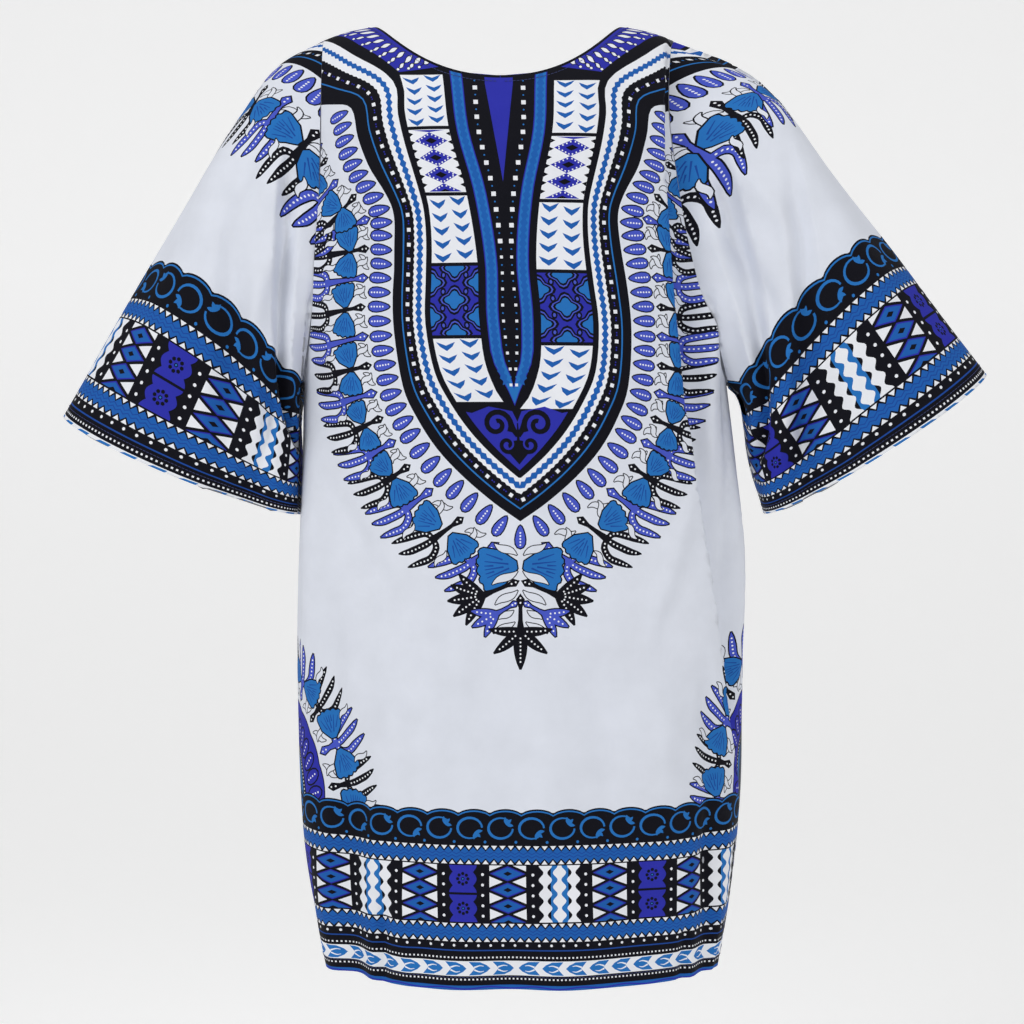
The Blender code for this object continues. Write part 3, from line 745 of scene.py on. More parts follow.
def motif_outline(share):
    """The whole outline, from the left shoulder down to the tip and up to the right shoulder."""
    half = motif_half(share)
    mirror = half * (-1, 1)
    return np.concatenate([mirror, half[-2::-1]])


def motif_region(share):
    """The outline closed over the neck."""
    return np.concatenate([motif_outline(share), OVER_NECK])


def placket_half(q, inset=0.0):
    """Half the placket's width at q, less an inset."""
    return np.maximum(smooth_read(np.asarray(q, float), PLACKET[:, 0], PLACKET[:, 1]) - inset, 0)


def placket_region(inset, tip_lift):
    """The placket's outline drawn in by an inset at its sides, with its tip lifted."""
    q = np.linspace(PLACKET_START, PLACKET[-1, 0] - tip_lift, 30)
    half = placket_half(q, inset)
    half = np.where(q > 0.33, half * np.clip((q[-1] - q) / (q[-1] - 0.33), 0, 1) ** 0.5, half)
    right = paired(PLACKET_AXIS + half, q)
    left = paired(PLACKET_AXIS - half, q)
    return np.concatenate([left[:-1], right[::-1]])


def zigzag_ribbon(drawing, path, width, pitch, colour):
    """A ribbon whose two edges are notched, as a chain of small diamonds is."""
    places, tangent = even_places(path, pitch / 2)
    normal = left_of(tangent)
    swing = np.where(np.arange(len(places)) % 2 == 0, 1.0, 0.42)[:, None]
    half = normal * swing * width / 2
    drawing.shape(np.concatenate([places + half, (places - half)[::-1]]), colour)


def chevron_block(drawing, warp):
    """Two columns of birds' feet, the second a quarter of a step lower."""
    columns, rows = 2, 5
    upper = [(-1, -1.0), (-0.50, -0.62), (0, -0.20), (0.50, -0.62)]
    tick = upper + [(1, -1.0), (0.66, 0.05), (0, 1), (-0.66, 0.05)]
    for column in range(columns):
        for row in range(rows):
            cs, ct = (column + 0.5) / columns, (row + 0.38 + 0.24 * column) / rows
            wide, tall = 0.40 / columns, 0.36 / rows
            drawing.shape(warp([(cs + wide * x, ct + tall * y) for x, y in tick]), MID_BLUE)


def lattice_block(drawing, warp):
    """A column of royal diamonds with dotted edges and black hearts, between black teeth."""
    rows = 3.7
    for row in range(-1, 4):
        centre = (row + 0.68) / rows
        for size, colour in ((1.0, ROYAL), (0.36, BLACK)):
            corners = diamond(0.5, centre, 0.40 * size, 0.5 / rows * size)
            drawing.shape(warp(np.clip(corners, (0, 0.01), (1, 0.99))), colour)
        if not 0 < centre < 1:
            continue
        for x0, x1 in ((0.5, 0.9), (0.9, 0.5), (0.5, 0.1), (0.1, 0.5)):
            y0, y1 = (centre - 0.5 / rows, centre) if x0 == 0.5 else (centre, centre + 0.5 / rows)
            for t in (0.16, 0.40, 0.64, 0.88):
                x, y = x0 + (x1 - x0) * t, y0 + (y1 - y0) * t
                at = warp([(0.5 + (x - 0.5) * 0.84, centre + (y - centre) * 0.84)])[0]
                if y < 0.97:
                    drawing.shape(ring(at, 0.0008, 5), WHITE)
    for side in (0, 1):
        for tooth in range(7):
            y = (tooth + 0.5) / (2 * rows)
            tip = 0.10 if side == 0 else 0.90
            drawing.shape(warp([(side, y - 0.10 / rows), (tip, y), (side, y + 0.16 / rows)]), BLACK)


def cloud_block(drawing, warp):
    """Lobed sky-blue clouds with black curls between them."""
    turn = np.linspace(0, 2 * math.pi, 24, endpoint=False)
    lobes = 1 + 0.20 * np.cos(4 * turn)
    for cs, ct in ((0.5, 0.02), (0.0, 0.24), (1.0, 0.24), (0.5, 0.49), (0.0, 0.74), (1.0, 0.74), (0.5, 0.98)):
        for size, colour in ((1.0, BLACK), (0.84, PERIWINKLE), (0.74, BLACK), (0.60, SKY)):
            shape = paired(cs + 0.29 * size * lobes * np.cos(turn), ct + 0.185 * size * lobes * np.sin(turn))
            drawing.shape(warp(np.clip(shape, (0, 0), (1, 1))), colour)
    for ct in (0.13, 0.37, 0.61, 0.86):
        for cs in (0.26, 0.74):
            drawing.shape(warp(ring((cs, ct), 0.062, 8)), BLACK)
            drawing.shape(warp(ring((cs, ct), 0.030, 6)), PERIWINKLE)


BLOCKS = (
    # kind, top q, bottom q, ground
    ("chevron", 0.0800, 0.1290, WHITE),
    ("lattice", 0.1320, 0.1865, WHITE),
    ("chevron", 0.1895, 0.2470, WHITE),
    ("cloud", 0.2500, 0.3090, ROYAL),
    ("chevron", 0.3120, 0.3660, WHITE),
)


def column_warp(side, top, bottom):
    """From shares across and down a block to places between the placket and the motif's inner edge."""
    inner = motif_half(1.0)[12:]
    order = np.argsort(inner[:, 1])
    reach_q, reach_p = inner[order, 1], inner[order, 0]

    def warp(points):
        points = np.asarray(points, float)
        q = top + (bottom - top) * points[:, 1]
        near = placket_half(q, -0.0012) + side * PLACKET_AXIS
        far = np.interp(q, reach_q, reach_p) - 0.0012
        p = near + (np.maximum(far, near + 0.0005) - near) * points[:, 0]
        return paired(side * p, q)

    return warp


def draw_columns(drawing):
    """The blocks on both sides of the placket, a little lower on the right."""
    for side, shift in ((-1, 0.0), (1, 0.006)):
        for kind, top, bottom, ground in BLOCKS:
            warp = column_warp(side, top + shift, bottom + shift)
            t = np.linspace(0, 1, 7)
            edge = [(0.0, v) for v in t] + [(1.0, v) for v in t[::-1]]
            drawing.shape(warp(edge), ground)
            if kind == "chevron":
                chevron_block(drawing, warp)
            elif kind == "lattice":
                lattice_block(drawing, warp)
            else:
                cloud_block(drawing, warp)


YOKE = np.array(
    [
        (0.050, 0.055),
        (0.0505, 0.0715),
        (0.0885, 0.0770),
        (0.127, 0.040),
        (0.163, -0.005),
        (0.178, -0.03),
        (0.090, -0.03),
    ]
)


def draw_yoke(drawing):
    """The royal panels between the neck edge and the shoulder, with slanted leaves and dots."""
    inner = np.array([(0.056, 0.0660), (0.080, 0.0560), (0.100, 0.0400), (0.113, 0.0180), (0.128, -0.010)])
    outer = np.array([(0.058, 0.0700), (0.089, 0.0745), (0.116, 0.0500), (0.145, 0.0140), (0.170, -0.016)])
    for side in (-1, 1):
        drawing.lined(YOKE * (side, 1), ROYAL, 0.0030)
        for share in np.linspace(0.05, 0.97, 13):
            at = np.linspace(0, 1, len(inner))
            near = read_along(share, at, inner)
            far = read_along(min(share + 0.05, 1), at, outer)
            drawing.shape(ribbon([near * (side, 1), far * (side, 1)], 0.0007), BLACK)
            for low, high, wide in ((0.08, 0.54, 0.0050), (0.62, 0.90, 0.0036)):
                start = (near + (far - near) * low) * (side, 1)
                run = (near + (far - near) * high) * (side, 1) - start
                length = float(np.hypot(*run))
                if length > 0.004:
                    leaf(drawing, start, run, length, wide * 0.8, 0.0008 * side, WHITE)
            drawing.lined(ring(far * (side, 1), 0.0013, 7), WHITE, 0.0005)


def spiral(centre, radius, turns, start, spin):
    """A scroll that winds in to a fifth of its radius."""
    turn = np.linspace(0, turns * 2 * math.pi, int(turns * 18))
    reach = radius * (1 - turn / turn[-1] * 0.80)
    angle = start + spin * turn
    return paired(centre[0] + reach * np.cos(angle), centre[1] + reach * np.sin(angle))


SCROLLS = (
    # centre, radius, thickness, turns, start, spin
    ((0.0178, 0.3850), 0.0128, 0.0048, 1.35, 2.6, 1),
    ((0.0095, 0.4025), 0.0080, 0.0038, 1.25, 3.6, -1),
)


def draw_heart(drawing):
    """The royal block under the placket, with two pairs of bold black scrolls that meet in the middle."""
    half = motif_half(1.0)
    lower = half[half[:, 1] > 0.376] * (0.955, 1) - (0, 0.0025)
    right = np.concatenate([[(0.0, 0.3830), (0.0040, 0.3740), (0.0240, 0.3700), (0.0385, 0.3755)], lower])
    drawing.shape(np.concatenate([right[:-1], (right * (-1, 1))[::-1]]), ROYAL)
    for side in (-1, 1):
        for centre, radius, thick, turns, start, spin in SCROLLS:
            scroll = spiral(centre, radius, turns, start, spin)
            drawing.shape(ribbon(scroll * (side, 1), np.linspace(thick, thick * 0.8, len(scroll))), BLACK)
        link = smooth_path([(0.0, 0.3950), (0.0035, 0.3900), (0.0062, 0.3830)], 4)
        drawing.shape(ribbon(link * (side, 1), 0.0046), BLACK)
    drawing.shape([(-0.0090, 0.4090), (0.0, 0.4060), (0.0090, 0.4090), (0.0, 0.4195)], BLACK)
    drawing.shape(ribbon([(0, 0.384), (0, 0.400), (0, 0.410)], (0.0010, 0.0026, 0.0026)), BLACK)


def draw_neck_motif(drawing):
    """Nested bands round the neck, the placket and its V, and the blocks between them."""
    drawing.shape(motif_region(0.0), BLACK)
    drawing.shape(ribbon(motif_outline(0.26), 0.0013), SKY)
    path = motif_outline(0.41)
    places, tangent = even_places(path, 0.0064)
    for i, (place, along) in enumerate(zip(places, tangent)):
        turn = math.atan2(along[1], along[0])
        if i % 2:
            drawing.dots([place + along * 0.0011, place - along * 0.0011], 0.0007, ROYAL)
        else:
            drawing.shape(ring(place, 0.0023, 4, turn + math.pi / 4), WHITE)
    outer, tangent = even_places(motif_outline(0.545), 0.0026)
    inner, _ = even_places(motif_outline(0.885), 0.0026)
    bump = np.where(np.arange(len(outer)) % 2 == 0, 0.0, 0.0009)[:, None]
    white = outer - left_of(tangent) * bump
    drawing.shape(np.concatenate([white, OVER_NECK]), WHITE)
    zigzag_ribbon(drawing, motif_outline(0.715), 0.0062, 0.0062, MID_BLUE)
    drawing.shape(np.concatenate([inner, OVER_NECK * (0.95, 1)]), BLACK)
    draw_columns(drawing)
    draw_yoke(drawing)
    draw_heart(drawing)
    drawing.shape(placket_region(0.0, 0.0), BLACK)
    drawing.shape(placket_region(0.0052, 0.006), ROYAL)
    drawing.shape(placket_region(0.0062, 0.008), SKY)
    for side in (-1, 1):
        q = np.linspace(0.045, 0.352, 60)
        p = PLACKET_AXIS + side * placket_half(q, 0.0105)
        zigzag_ribbon(drawing, paired(p, q), 0.0068, 0.0060, MID_BLUE)
    drawing.shape(placket_region(0.0148, 0.020), ROYAL)
    drawing.shape(placket_region(0.0158, 0.022), BLACK)
    for side in (-1, 1):
        for i, q in enumerate(np.arange(0.066, 0.352, 0.0068)):
            inset = float(np.interp(q, (0.07, 0.25), (0.0265, 0.0195)))
            at = (PLACKET_AXIS + side * max(float(placket_half(q, inset)), 0.0024), q)
            if i % 2:
                drawing.shape(ring(at, 0.0008, 6), SKY)
            else:
                drawing.shape(ring(at, 0.0027 - 0.0010 * (q > 0.24), 4, math.pi / 4), WHITE)
    vee = np.array([(-0.0135, 0.04), (0.0135, 0.04), (0.0120, 0.09), (0, 0.178), (-0.0120, 0.09)])
    drawing.shape(vee + (PLACKET_AXIS, 0), ROYAL)


def draw_flower_ring(drawing, buds, ways, first_dark, stems, flip=1):
    """Tulips of two colours in turn, with a fan and leaves between each two."""
    for i, (bud, way) in enumerate(zip(buds, ways)):
        tulip(drawing, bud, way, (i % 2 == 0) == first_dark, 1.0, stems[i], flip)
    for i in range(len(buds) - 1):
        middle = (buds[i] + buds[i + 1]) / 2
        way = ways[i] + ways[i + 1]
        way /= np.hypot(*way)
        along = buds[i + 1] - buds[i]
        along /= np.hypot(*along)
        gap = float(np.hypot(*(buds[i + 1] - buds[i])))
        size = min(max(gap / 0.0285, 0.66), 1.05)
        turned = along if i % 2 else -along
        leaf(drawing, middle - way * 0.0010 - along * 0.0050, way * 0.6 + along * 0.8, 0.0165 * size, 0.0048)
        leaf(drawing, middle + way * 0.0010 + along * 0.0050, way * 0.8 - along * 0.6, 0.0150 * size, 0.0044)
        fan_flower(drawing, middle + way * 0.0185 - turned * 0.0118 * size, turned + way * 0.25, size * 0.98)
        leaf(drawing, middle + way * 0.0330 + along * 0.0030, way - along * 0.3, 0.0150 * size, 0.0046)


# From the tip of the motif up each side: how far along the ring each next bud lies.
BUD_PITCHES = (0.0235, 0.037, 0.036, 0.028, 0.0245, 0.0225, 0.0225, 0.0240) + (0.0255,) * 12
BUD_STEMS = (0.026, 0.030, 0.027, 0.025, 0.026, 0.028, 0.031, 0.034) + (0.038,) * 12


def draw_neck_garland(drawing):
    """Petals round the neck motif, then the ring of flowers, and the small flowers under its tip."""
    half = motif_half(-0.09)[::-1]
    for side in (-1, 1):
        path = half * (side, 1)
        along = lengths_along(path)
        at = np.concatenate([[0.014], 0.014 + np.cumsum([0.0160] * 3 + [0.0142] * 4 + [0.0122] * 60)])
        at = at[at < along[-1] - 0.004]
        places = read_along(at, along, path)
        step = read_along(at + 0.002, along, path) - places
        for place, run in zip(places, step):
            way = np.array([-run[1], run[0]]) * side
            if place[1] < 0.105:
                continue
            if place[1] < 0.33:
                way = np.array([side, min(way[1] / abs(way[0]), 0.17)])
            petal(drawing, place, way)
    petal(drawing, (0.0, half[0, 1]), (0, 1))
    ring_half = motif_half(-0.78)[::-1]
    for side in (-1, 1):
        path = ring_half * (side, 1)
        along = lengths_along(path)
        at = np.cumsum(BUD_PITCHES)
        at = at[at < along[-1] - 0.02]
        buds = read_along(at, along, path)
        step = read_along(at + 0.003, along, path) - buds
        outward = left_of(step) * side
        slope = np.arctan2(outward[:, 1], np.abs(outward[:, 0]))
        down = np.clip(0.12 + 0.72 * slope, -0.35, 0.62)
        ways = paired(side * np.cos(down), np.sin(down))
        draw_flower_ring(drawing, buds, ways, False, BUD_STEMS, side)
    for side in (-1, 1):
        fan_flower(drawing, (side * 0.0030, 0.5050), (side, 0.16), 1.42)
        leaf(drawing, (side * 0.0030, 0.4965), (side, -0.50), 0.021, 0.0062, side * 0.002)
        leaf(drawing, (side * 0.0025, 0.5105), (side, 0.52), 0.024, 0.0062, side * -0.002)
        leaf(drawing, (side * 0.0025, 0.5270), (side, 0.62), 0.022, 0.0062, side * -0.002)
        leaf(drawing, (side * 0.0060, 0.5440), (side, 0.55), 0.014, 0.0052, side * -0.001)
        leaf(drawing, (side * 0.0050, 0.5540), (side, 0.50), 0.020, 0.0056, side * -0.001)
        dark_lobes = (-0.62, -0.22, 0.20, 0.62, 1.0)
        lotus(drawing, (side * 0.0020, 0.5190), (side, 0.40), True, 1.06, 0.031, dark_lobes, side)
        lotus(drawing, (side * 0.0030, 0.5370), (side, 0.55), False, 0.78, 0.026, (-0.55, 0.0, 0.55), side)
    lotus(drawing, (0.0, 0.5310), (0.0, 1.0), True, 1.12, 0.027)


DOME_RINGS = (
    # reach, colour, height of its lobes
    (0.1000, BLACK, 0.0016),
    (0.0985, ROYAL, 0.0016),
    (0.0625, BLACK, 0),
    (0.0530, SKY, 0),
    (0.0430, BLACK, 0),
    (0.0390, ROYAL, 0),
)
RIGHT_DOME_SHIFT = (0.026, -0.018)  # the print lies further round on that side


def draw_side_medallion(drawing, side):
    """Half a domed medallion at the side seam, above the border; the other half is on the other panel."""
    seam = float(half_cloth(np.array([0.70]))[0])
    centre = np.array([side * seam, 0.724])
    if side > 0:
        centre += RIGHT_DOME_SHIFT
    turn = np.linspace(-math.pi / 2, math.pi / 2, 61)

    def on_dome(reach, angle):
        return paired(centre[0] - side * reach * 0.72 * np.cos(angle), centre[1] + reach * np.sin(angle))

    for reach, colour, lobes in DOME_RINGS:
        drawing.shape(on_dome(reach + lobes * np.abs(np.cos(turn * 10)), turn), colour)
    for angle in np.linspace(-1.36, 0.14, 9):
        outward = np.array([-side * 0.72 * math.cos(angle), math.sin(angle)])
        at = on_dome(0.0670, angle)
        t = np.linspace(0, 2 * math.pi, 12, endpoint=False)
        oval = paired(0.0056 * np.cos(t), 0.0112 + 0.0092 * np.sin(t))
        drawing.lined(placed(oval, at, outward), ROYAL, 0.0015)
        row = paired(np.zeros(4), np.linspace(0.005, 0.016, 4))
        drawing.dots(placed(row, at, outward), 0.00095)
    for reach in (0.0578, 0.0300):
        for angle in np.arange(-1.5, 0.15, 0.0036 / reach):
            drawing.shape(ring(on_dome(reach, angle), 0.0010, 6), WHITE)
    angles = np.array([-1.50, -1.18, -0.86, -0.54, -0.24, 0.04])
    buds = on_dome(0.1075, angles)
    ways = paired(-side * np.cos(angles * 0.92), np.sin(angles * 0.92))
    draw_flower_ring(drawing, buds, ways, True, (0.016,) * 6, -side)


TRIANGLE_PITCH = 0.0071


def triangle_row(drawing, left, right, base, tip):
    """White triangles side by side, from their base to their tip."""
    for x in np.arange(left, right, TRIANGLE_PITCH):
        end = x + TRIANGLE_PITCH
        drawing.shape([(x + 0.0010, base), (end - 0.0010, base), (x + TRIANGLE_PITCH / 2, tip)], WHITE)


def zigzag_band(drawing, left, right, low, high):
    """White triangles, a blue band with toothed edges, and white triangles again."""
    triangle_row(drawing, left, right, low, low + 0.0034)
    triangle_row(drawing, left, right, high, high - 0.0034)
    x = np.arange(left, right + TRIANGLE_PITCH, TRIANGLE_PITCH / 2)
    tooth = np.where(np.arange(len(x)) % 2 == 0, 0.0, 1.0)
    lower = paired(x, low + 0.0012 + 0.0036 * tooth)
    upper = paired(x, high - 0.0012 - 0.0036 * tooth)
    drawing.shape(np.concatenate([lower, upper[::-1]]), MID_BLUE)
    middle = (low + high) / 2
    for offset in (-0.0012, 0.0016):
        path = paired(x, middle + offset + 0.0020 * (tooth - 0.5))
        drawing.shape(ribbon(path, 0.0008), DEEP_BLUE)


def bead_block(drawing, left, right, low, high):
    """Three columns of white beads on black, with blue behind the middle one."""
    drawing.shape(oblong(left, right, low, high), BLACK)
    y = np.linspace(low, high, 33)
    width = (right - left) / 3
    middle = left + width * 1.5
    drawing.shape(oblong(middle - width * 0.62, middle + width * 0.62, low, high), SKY)
    for column in range(3):
        x = left + width * (column + 0.5)
        beads = np.cos((y - low) / (high - low) * 2 * math.pi * 4 + (column == 1) * math.pi)
        swell = width * (0.60 + 0.34 * beads)
        drawing.shape(ribbon(paired(x + 0 * y, y), swell), WHITE)


def dotted_strip(drawing, left, right, low, high):
    """A narrow black strip with a line of white dots."""
    drawing.shape(oblong(left, right, low, high), BLACK)
    for y in np.arange(low + 0.0052, high - 0.002, 0.0088):
        drawing.shape(ring(((left + right) / 2, y), 0.0013, 7), WHITE)


def diamond_block(drawing, left, right, low, high):
    """Blue diamonds with black hearts across the block, and white triangles in the gaps at both sides."""
    drawing.shape(oblong(left, right, low, high), BLACK)
    left, right = left + 0.0008, right - 0.0008
    rows = 3.5
    tall = (high - low) / rows
    middle, wide = (left + right) / 2, (right - left) / 2

    def clipped(points):
        return np.clip(points, (left, low), (right, high))

    for row in range(5):
        y = low + tall * row
        for across, up, colour in ((0.94, 0.46, ROYAL), (0.80, 0.38, MID_BLUE), (0.24, 0.14, BLACK)):
            drawing.shape(clipped(diamond(middle, y, wide * across, tall * up)), colour)
    for row in range(4):
        y = low + tall * (row + 0.5)
        for side in (-1, 1):
            edge, tip = middle + side * wide * 0.97, middle + side * wide * 0.26
            drawing.shape(clipped([(edge, y - tall * 0.34), (edge, y + tall * 0.34), (tip, y)]), WHITE)


def royal_block(drawing, left, right, low, high):
    """Two lobed royal panels, each with an eight-petalled flower."""
    drawing.shape(oblong(left, right, low, high), BLACK)
    middle, half = (left + right) / 2, (right - left) / 2
    for y0, y1 in ((low, (low + high) / 2 - 0.001), ((low + high) / 2 + 0.001, high)):
        t = np.linspace(0, 1, 17)
        reach = half * (0.70 + 0.26 * np.abs(np.cos(t * 2 * math.pi)))
        y = y0 + (y1 - y0) * t
        drawing.shape(np.concatenate([paired(middle + reach, y), paired(middle - reach, y)[::-1]]), ROYAL)
        centre = (middle, (y0 + y1) / 2)
        for k in range(8):
            turn = k * math.pi / 4
            at = (centre[0] + 0.0044 * math.cos(turn), centre[1] + 0.0044 * math.sin(turn))
            drawing.shape(ring(at, 0.0015, 6), BLACK)
        drawing.shape(ring(centre, 0.0016, 6), BLACK)
        drawing.shape(ring(centre, 0.0008, 6), SKY)


def hoop_motif(drawing, at, flip, reach=0.0088):
    """An open hoop with a small three-leaved bud in its gap."""
    turn = np.linspace(0.75, 2 * math.pi - 0.05, 20)
    hoop = paired(at[0] + reach * 1.18 * np.cos(turn), at[1] - flip * reach * 0.98 * np.sin(turn))
    drawing.shape(ribbon(hoop, np.interp(np.linspace(0, 1, 20), (0, 0.5, 1), (0.0009, 0.0024, 0.0016))), SKY)
    bud = np.array([at[0] + reach * 0.52, at[1] - flip * reach * 0.36])
    for lean in (-0.95, 0.0, 0.95):
        t = np.linspace(0, 1, 5)
        spine = paired(0 * t, reach * 0.72 * t)
        way = (math.sin(lean + 0.8), -flip * math.cos(lean + 0.8))
        drawing.shape(placed(ribbon(spine, 0.0030 * np.sin(math.pi * np.clip(t, 0.05, 0.98))), bud, way), SKY)


# An arrow and the streak on it: lengths along it, and shares of half its height.
ARROW_LENGTHS = (0.0, 0.0095, 0.0150, 0.0180, 0.0150, 0.0095, 0.0, 0.0050)
ARROW = paired(ARROW_LENGTHS, (-1, -0.95, -0.5, 0.0, 0.5, 0.95, 1, 0.0))
STREAK = np.array([(0.0045, 0.4), (0.0090, 1.0), (0.0125, 0.8)])


def chevron_arrows(drawing, left, right, low, high, middle, pitch=0.0200):
    """Blue arrows with pale streaks, that all point to the middle."""
    drawing.shape(oblong(left, right, low, high), WHITE)
    y, half = (low + high) / 2, (high - low) / 2 - 0.0006
    for x in np.arange(left + 0.002, right - pitch, pitch):
        way = 1 if x + pitch / 2 < middle else -1
        tail = x if way > 0 else x + pitch
        drawing.shape(ARROW * (way, half) + (tail, y), SKY)
        for lift in (-0.5, 0.42):
            streak = smooth_path(STREAK * (1, half * lift), 3) * (way, 1) + (tail, y)
            drawing.shape(ribbon(streak, np.linspace(0.0014, 0.0004, len(streak))), WHITE)


# The border's rows, by height above the hem.
EDGE_BAND_TOP = 0.0040
SQUARE_ROWS = (0.0092, 0.0280)
ARROW_ROW = (0.0122, 0.0250)
BLUE_LINE = (0.0336, 0.0347)
DOT_ROW = 0.0384
LOWER_ZIGZAG = (0.0416, 0.0571)
BLOCK_ROW = (0.0584, 0.1065)
UPPER_ZIGZAG = (0.1076, 0.1230)
SMALL_DOT_ROW = 0.1262
HOOP_ROW = 0.1378
SCALLOP_ROW = 0.1505
BORDER_TOP = 0.151
HOOP_PITCH = 0.0262
CUFF_BORDER_CUT = 0.0225  # the cuff is turned up through the border's row of arrows
CUFF_BORDER_TALL = 1.17
# Where along the border its run of blocks starts.
BORDER_PHASE = {BACK: 0.0145, FRONT: 0.06}
CUFF_PHASE = 0.031


def draw_border(drawing, left, right, phase, to_flat):
    """The border, drawn by height above the hem's edge and put on the piece at the end."""
    own = Drawing()
    own.shape(oblong(left, right, -0.01, BORDER_TOP), BLACK)
    own.shape(oblong(left, right, -0.01, EDGE_BAND_TOP), MID_BLUE)
    wave = np.arange(left, right, 0.004)
    own.shape(ribbon(paired(wave, 0.0018 + 0.0008 * np.sin(wave * 160)), 0.0012), ROYAL)
    chevron_arrows(own, left, right, *ARROW_ROW, (left + right) / 2)
    for y in SQUARE_ROWS:
        for x in np.arange(left + 0.001, right, 0.0034):
            own.shape(ring((x, y), 0.0010, 4, math.pi / 4), WHITE)
    own.shape(oblong(left, right, *BLUE_LINE), DEEP_BLUE)
    for x in np.arange(left + 0.004, right, 0.0103):
        own.shape(ring((x, DOT_ROW), 0.0012, 7), WHITE)
    zigzag_band(own, left, right, *LOWER_ZIGZAG)
    kinds = (
        (bead_block, 0.036),
        (dotted_strip, 0.0090),
        (diamond_block, 0.0335),
        (dotted_strip, 0.0090),
        (royal_block, 0.0245),
        (dotted_strip, 0.0090),
        (diamond_block, 0.0335),
        (dotted_strip, 0.0090),
    )
    period = sum(width for _, width in kinds)
    x = phase - math.ceil((phase - left) / period) * period
    while x < right:
        for make, width in kinds:
            if x + width > left and x < right:
                make(own, x, x + width, *BLOCK_ROW)
            x += width
    zigzag_band(own, left, right, *UPPER_ZIGZAG)
    first = left - HOOP_PITCH + phase % HOOP_PITCH
    for i, x in enumerate(np.arange(first, right + HOOP_PITCH, HOOP_PITCH)):
        hoop_motif(own, (x, HOOP_ROW), 1 if i % 2 else -1)
        own.shape(ring((x + HOOP_PITCH / 2, SMALL_DOT_ROW), 0.0013, 6), SKY)
    count = int((right - left) / HOOP_PITCH)
    t = np.linspace(left, right, count * 8 + 1)
    top = SCALLOP_ROW + 0.0036 * np.abs(np.sin((t - left) / (right - left) * count * math.pi)) ** 0.7
    own.shape(np.concatenate([paired(t, top), [(right, 0.148), (left, 0.148)]]), BLACK)
    own.shape(ribbon(paired(t, top - 0.0020), 0.0012), SKY)
    for outline, colour in zip(own.outlines, own.colours):
        drawing.shape(to_flat(np.clip(outline, (left - 0.002, -1), (right + 0.002, 1))), colour)


# ---------------------------------------------------------------- from a flat drawing to hung cloth


def uneven_grid(outline, pitch):
    """Points of a slightly uneven grid over an outline's box, for the drape."""
    low, high = outline.min(axis=0), outline.max(axis=0)
    columns = np.arange(low[0] + pitch * 0.37, high[0], pitch)
    rows = np.arange(low[1] + pitch * 0.41, high[1], pitch * 0.93)
    x, y = np.meshgrid(columns, rows)
    x = x + pitch / 2 * (np.arange(len(rows)) % 2)[:, None]
    random = np.random.default_rng(7)
    shake = random.uniform(-0.25, 0.25, (2,) + x.shape) * pitch
    return paired((x + shake[0]).ravel(), (y + shake[1]).ravel())


def in_outline(points, outline):
    """Which points an outline winds round, as a filled shape does even where it crosses itself."""
    x, y = points[:, 0], points[:, 1]
    winds = np.zeros(len(points), int)
    ends = np.roll(outline, -1, axis=0)
    for (x0, y0), (x1, y1) in zip(outline, ends):
        if y0 == y1:
            continue
        crosses = (y0 > y) != (y1 > y)
        at = x0 + (y - y0) * (x1 - x0) / (y1 - y0)
        winds += (crosses & (x < at)) * (1 if y1 > y0 else -1)
    return winds != 0


def split_into_triangles(cut, drawing, pitch):
    """The flat cut split along every printed outline. Gives points, triangles and a colour for each."""
    low, high = cut.min(axis=0), cut.max(axis=0)
    shapes, colours = [cut], [GROUND]
    for shape, colour in zip(drawing.outlines, drawing.colours):
        if (shape.max(axis=0) > low).all() and (shape.min(axis=0) < high).all():
            shapes.append(shape)
            colours.append(colour)
    points, edges = [], []
    for shape in shapes:
        first = len(points)
        points.extend(shape.tolist())
        edges.extend((first + i, first + (i + 1) % len(shape)) for i in range(len(shape)))
    grid = uneven_grid(cut, pitch)
    points.extend(grid[in_outline(grid, cut)].tolist())
    out = delaunay_2d_cdt([Vector(point) for point in points], edges, [], 0, 1e-6, False)
    flat = np.array([point[:] for point in out[0]])
    triangles = np.array([face for face in out[2] if len(face) == 3])
    centres = flat[triangles].mean(axis=1)
    triangles = triangles[in_outline(centres, cut)]
    centres = flat[triangles].mean(axis=1)
    order = np.argsort(centres[:, 1])
    rows = centres[order]
    tints = np.tile(np.array(GROUND), (len(triangles), 1))
    for shape, colour in zip(shapes[1:], colours[1:]):
        low, high = shape.min(axis=0), shape.max(axis=0)
        first, last = np.searchsorted(rows[:, 1], (low[1], high[1]))
        near = order[first:last]
        across = centres[near, 0]
        near = near[(across > low[0]) & (across < high[0])]
        tints[near[in_outline(centres[near], shape)]] = colour
    used, index = np.unique(triangles, return_inverse=True)
    return flat[used], index.reshape(-1, 3), tints


def border_of(triangles):
    """The edges that only one triangle has, in that triangle's own direction."""
    edges = np.concatenate([triangles[:, [0, 1]], triangles[:, [1, 2]], triangles[:, [2, 0]]])
    _, first, times = np.unique(np.sort(edges, axis=1), axis=0, return_index=True, return_counts=True)
    return edges[first[times == 1]]


def loop_of(border, flat):
    """The border's places in order round the piece."""
    after = dict(border.tolist())
    place = int(border[0, 0])
    loop = [place]
    while after[place] != loop[0]:
        place = after[place]
        loop.append(place)
    return flat[loop]


def nearest(places, flat, chosen):
    """For each place, which of the chosen flat points is nearest."""
    found = np.empty(places.shape[:-1], int)
    for i in range(places.shape[0]):
        for j in range(places.shape[1]):
            found[i, j] = chosen[np.argmin(np.sum((flat[chosen] - places[i, j]) ** 2, axis=1))]
    return found


def surface_normals(surface, flat, away_from):
    """The surface's normals at flat places, pointing out of the garment."""
    return normal_of(surface, flat[:, 0], flat[:, 1], away_from)


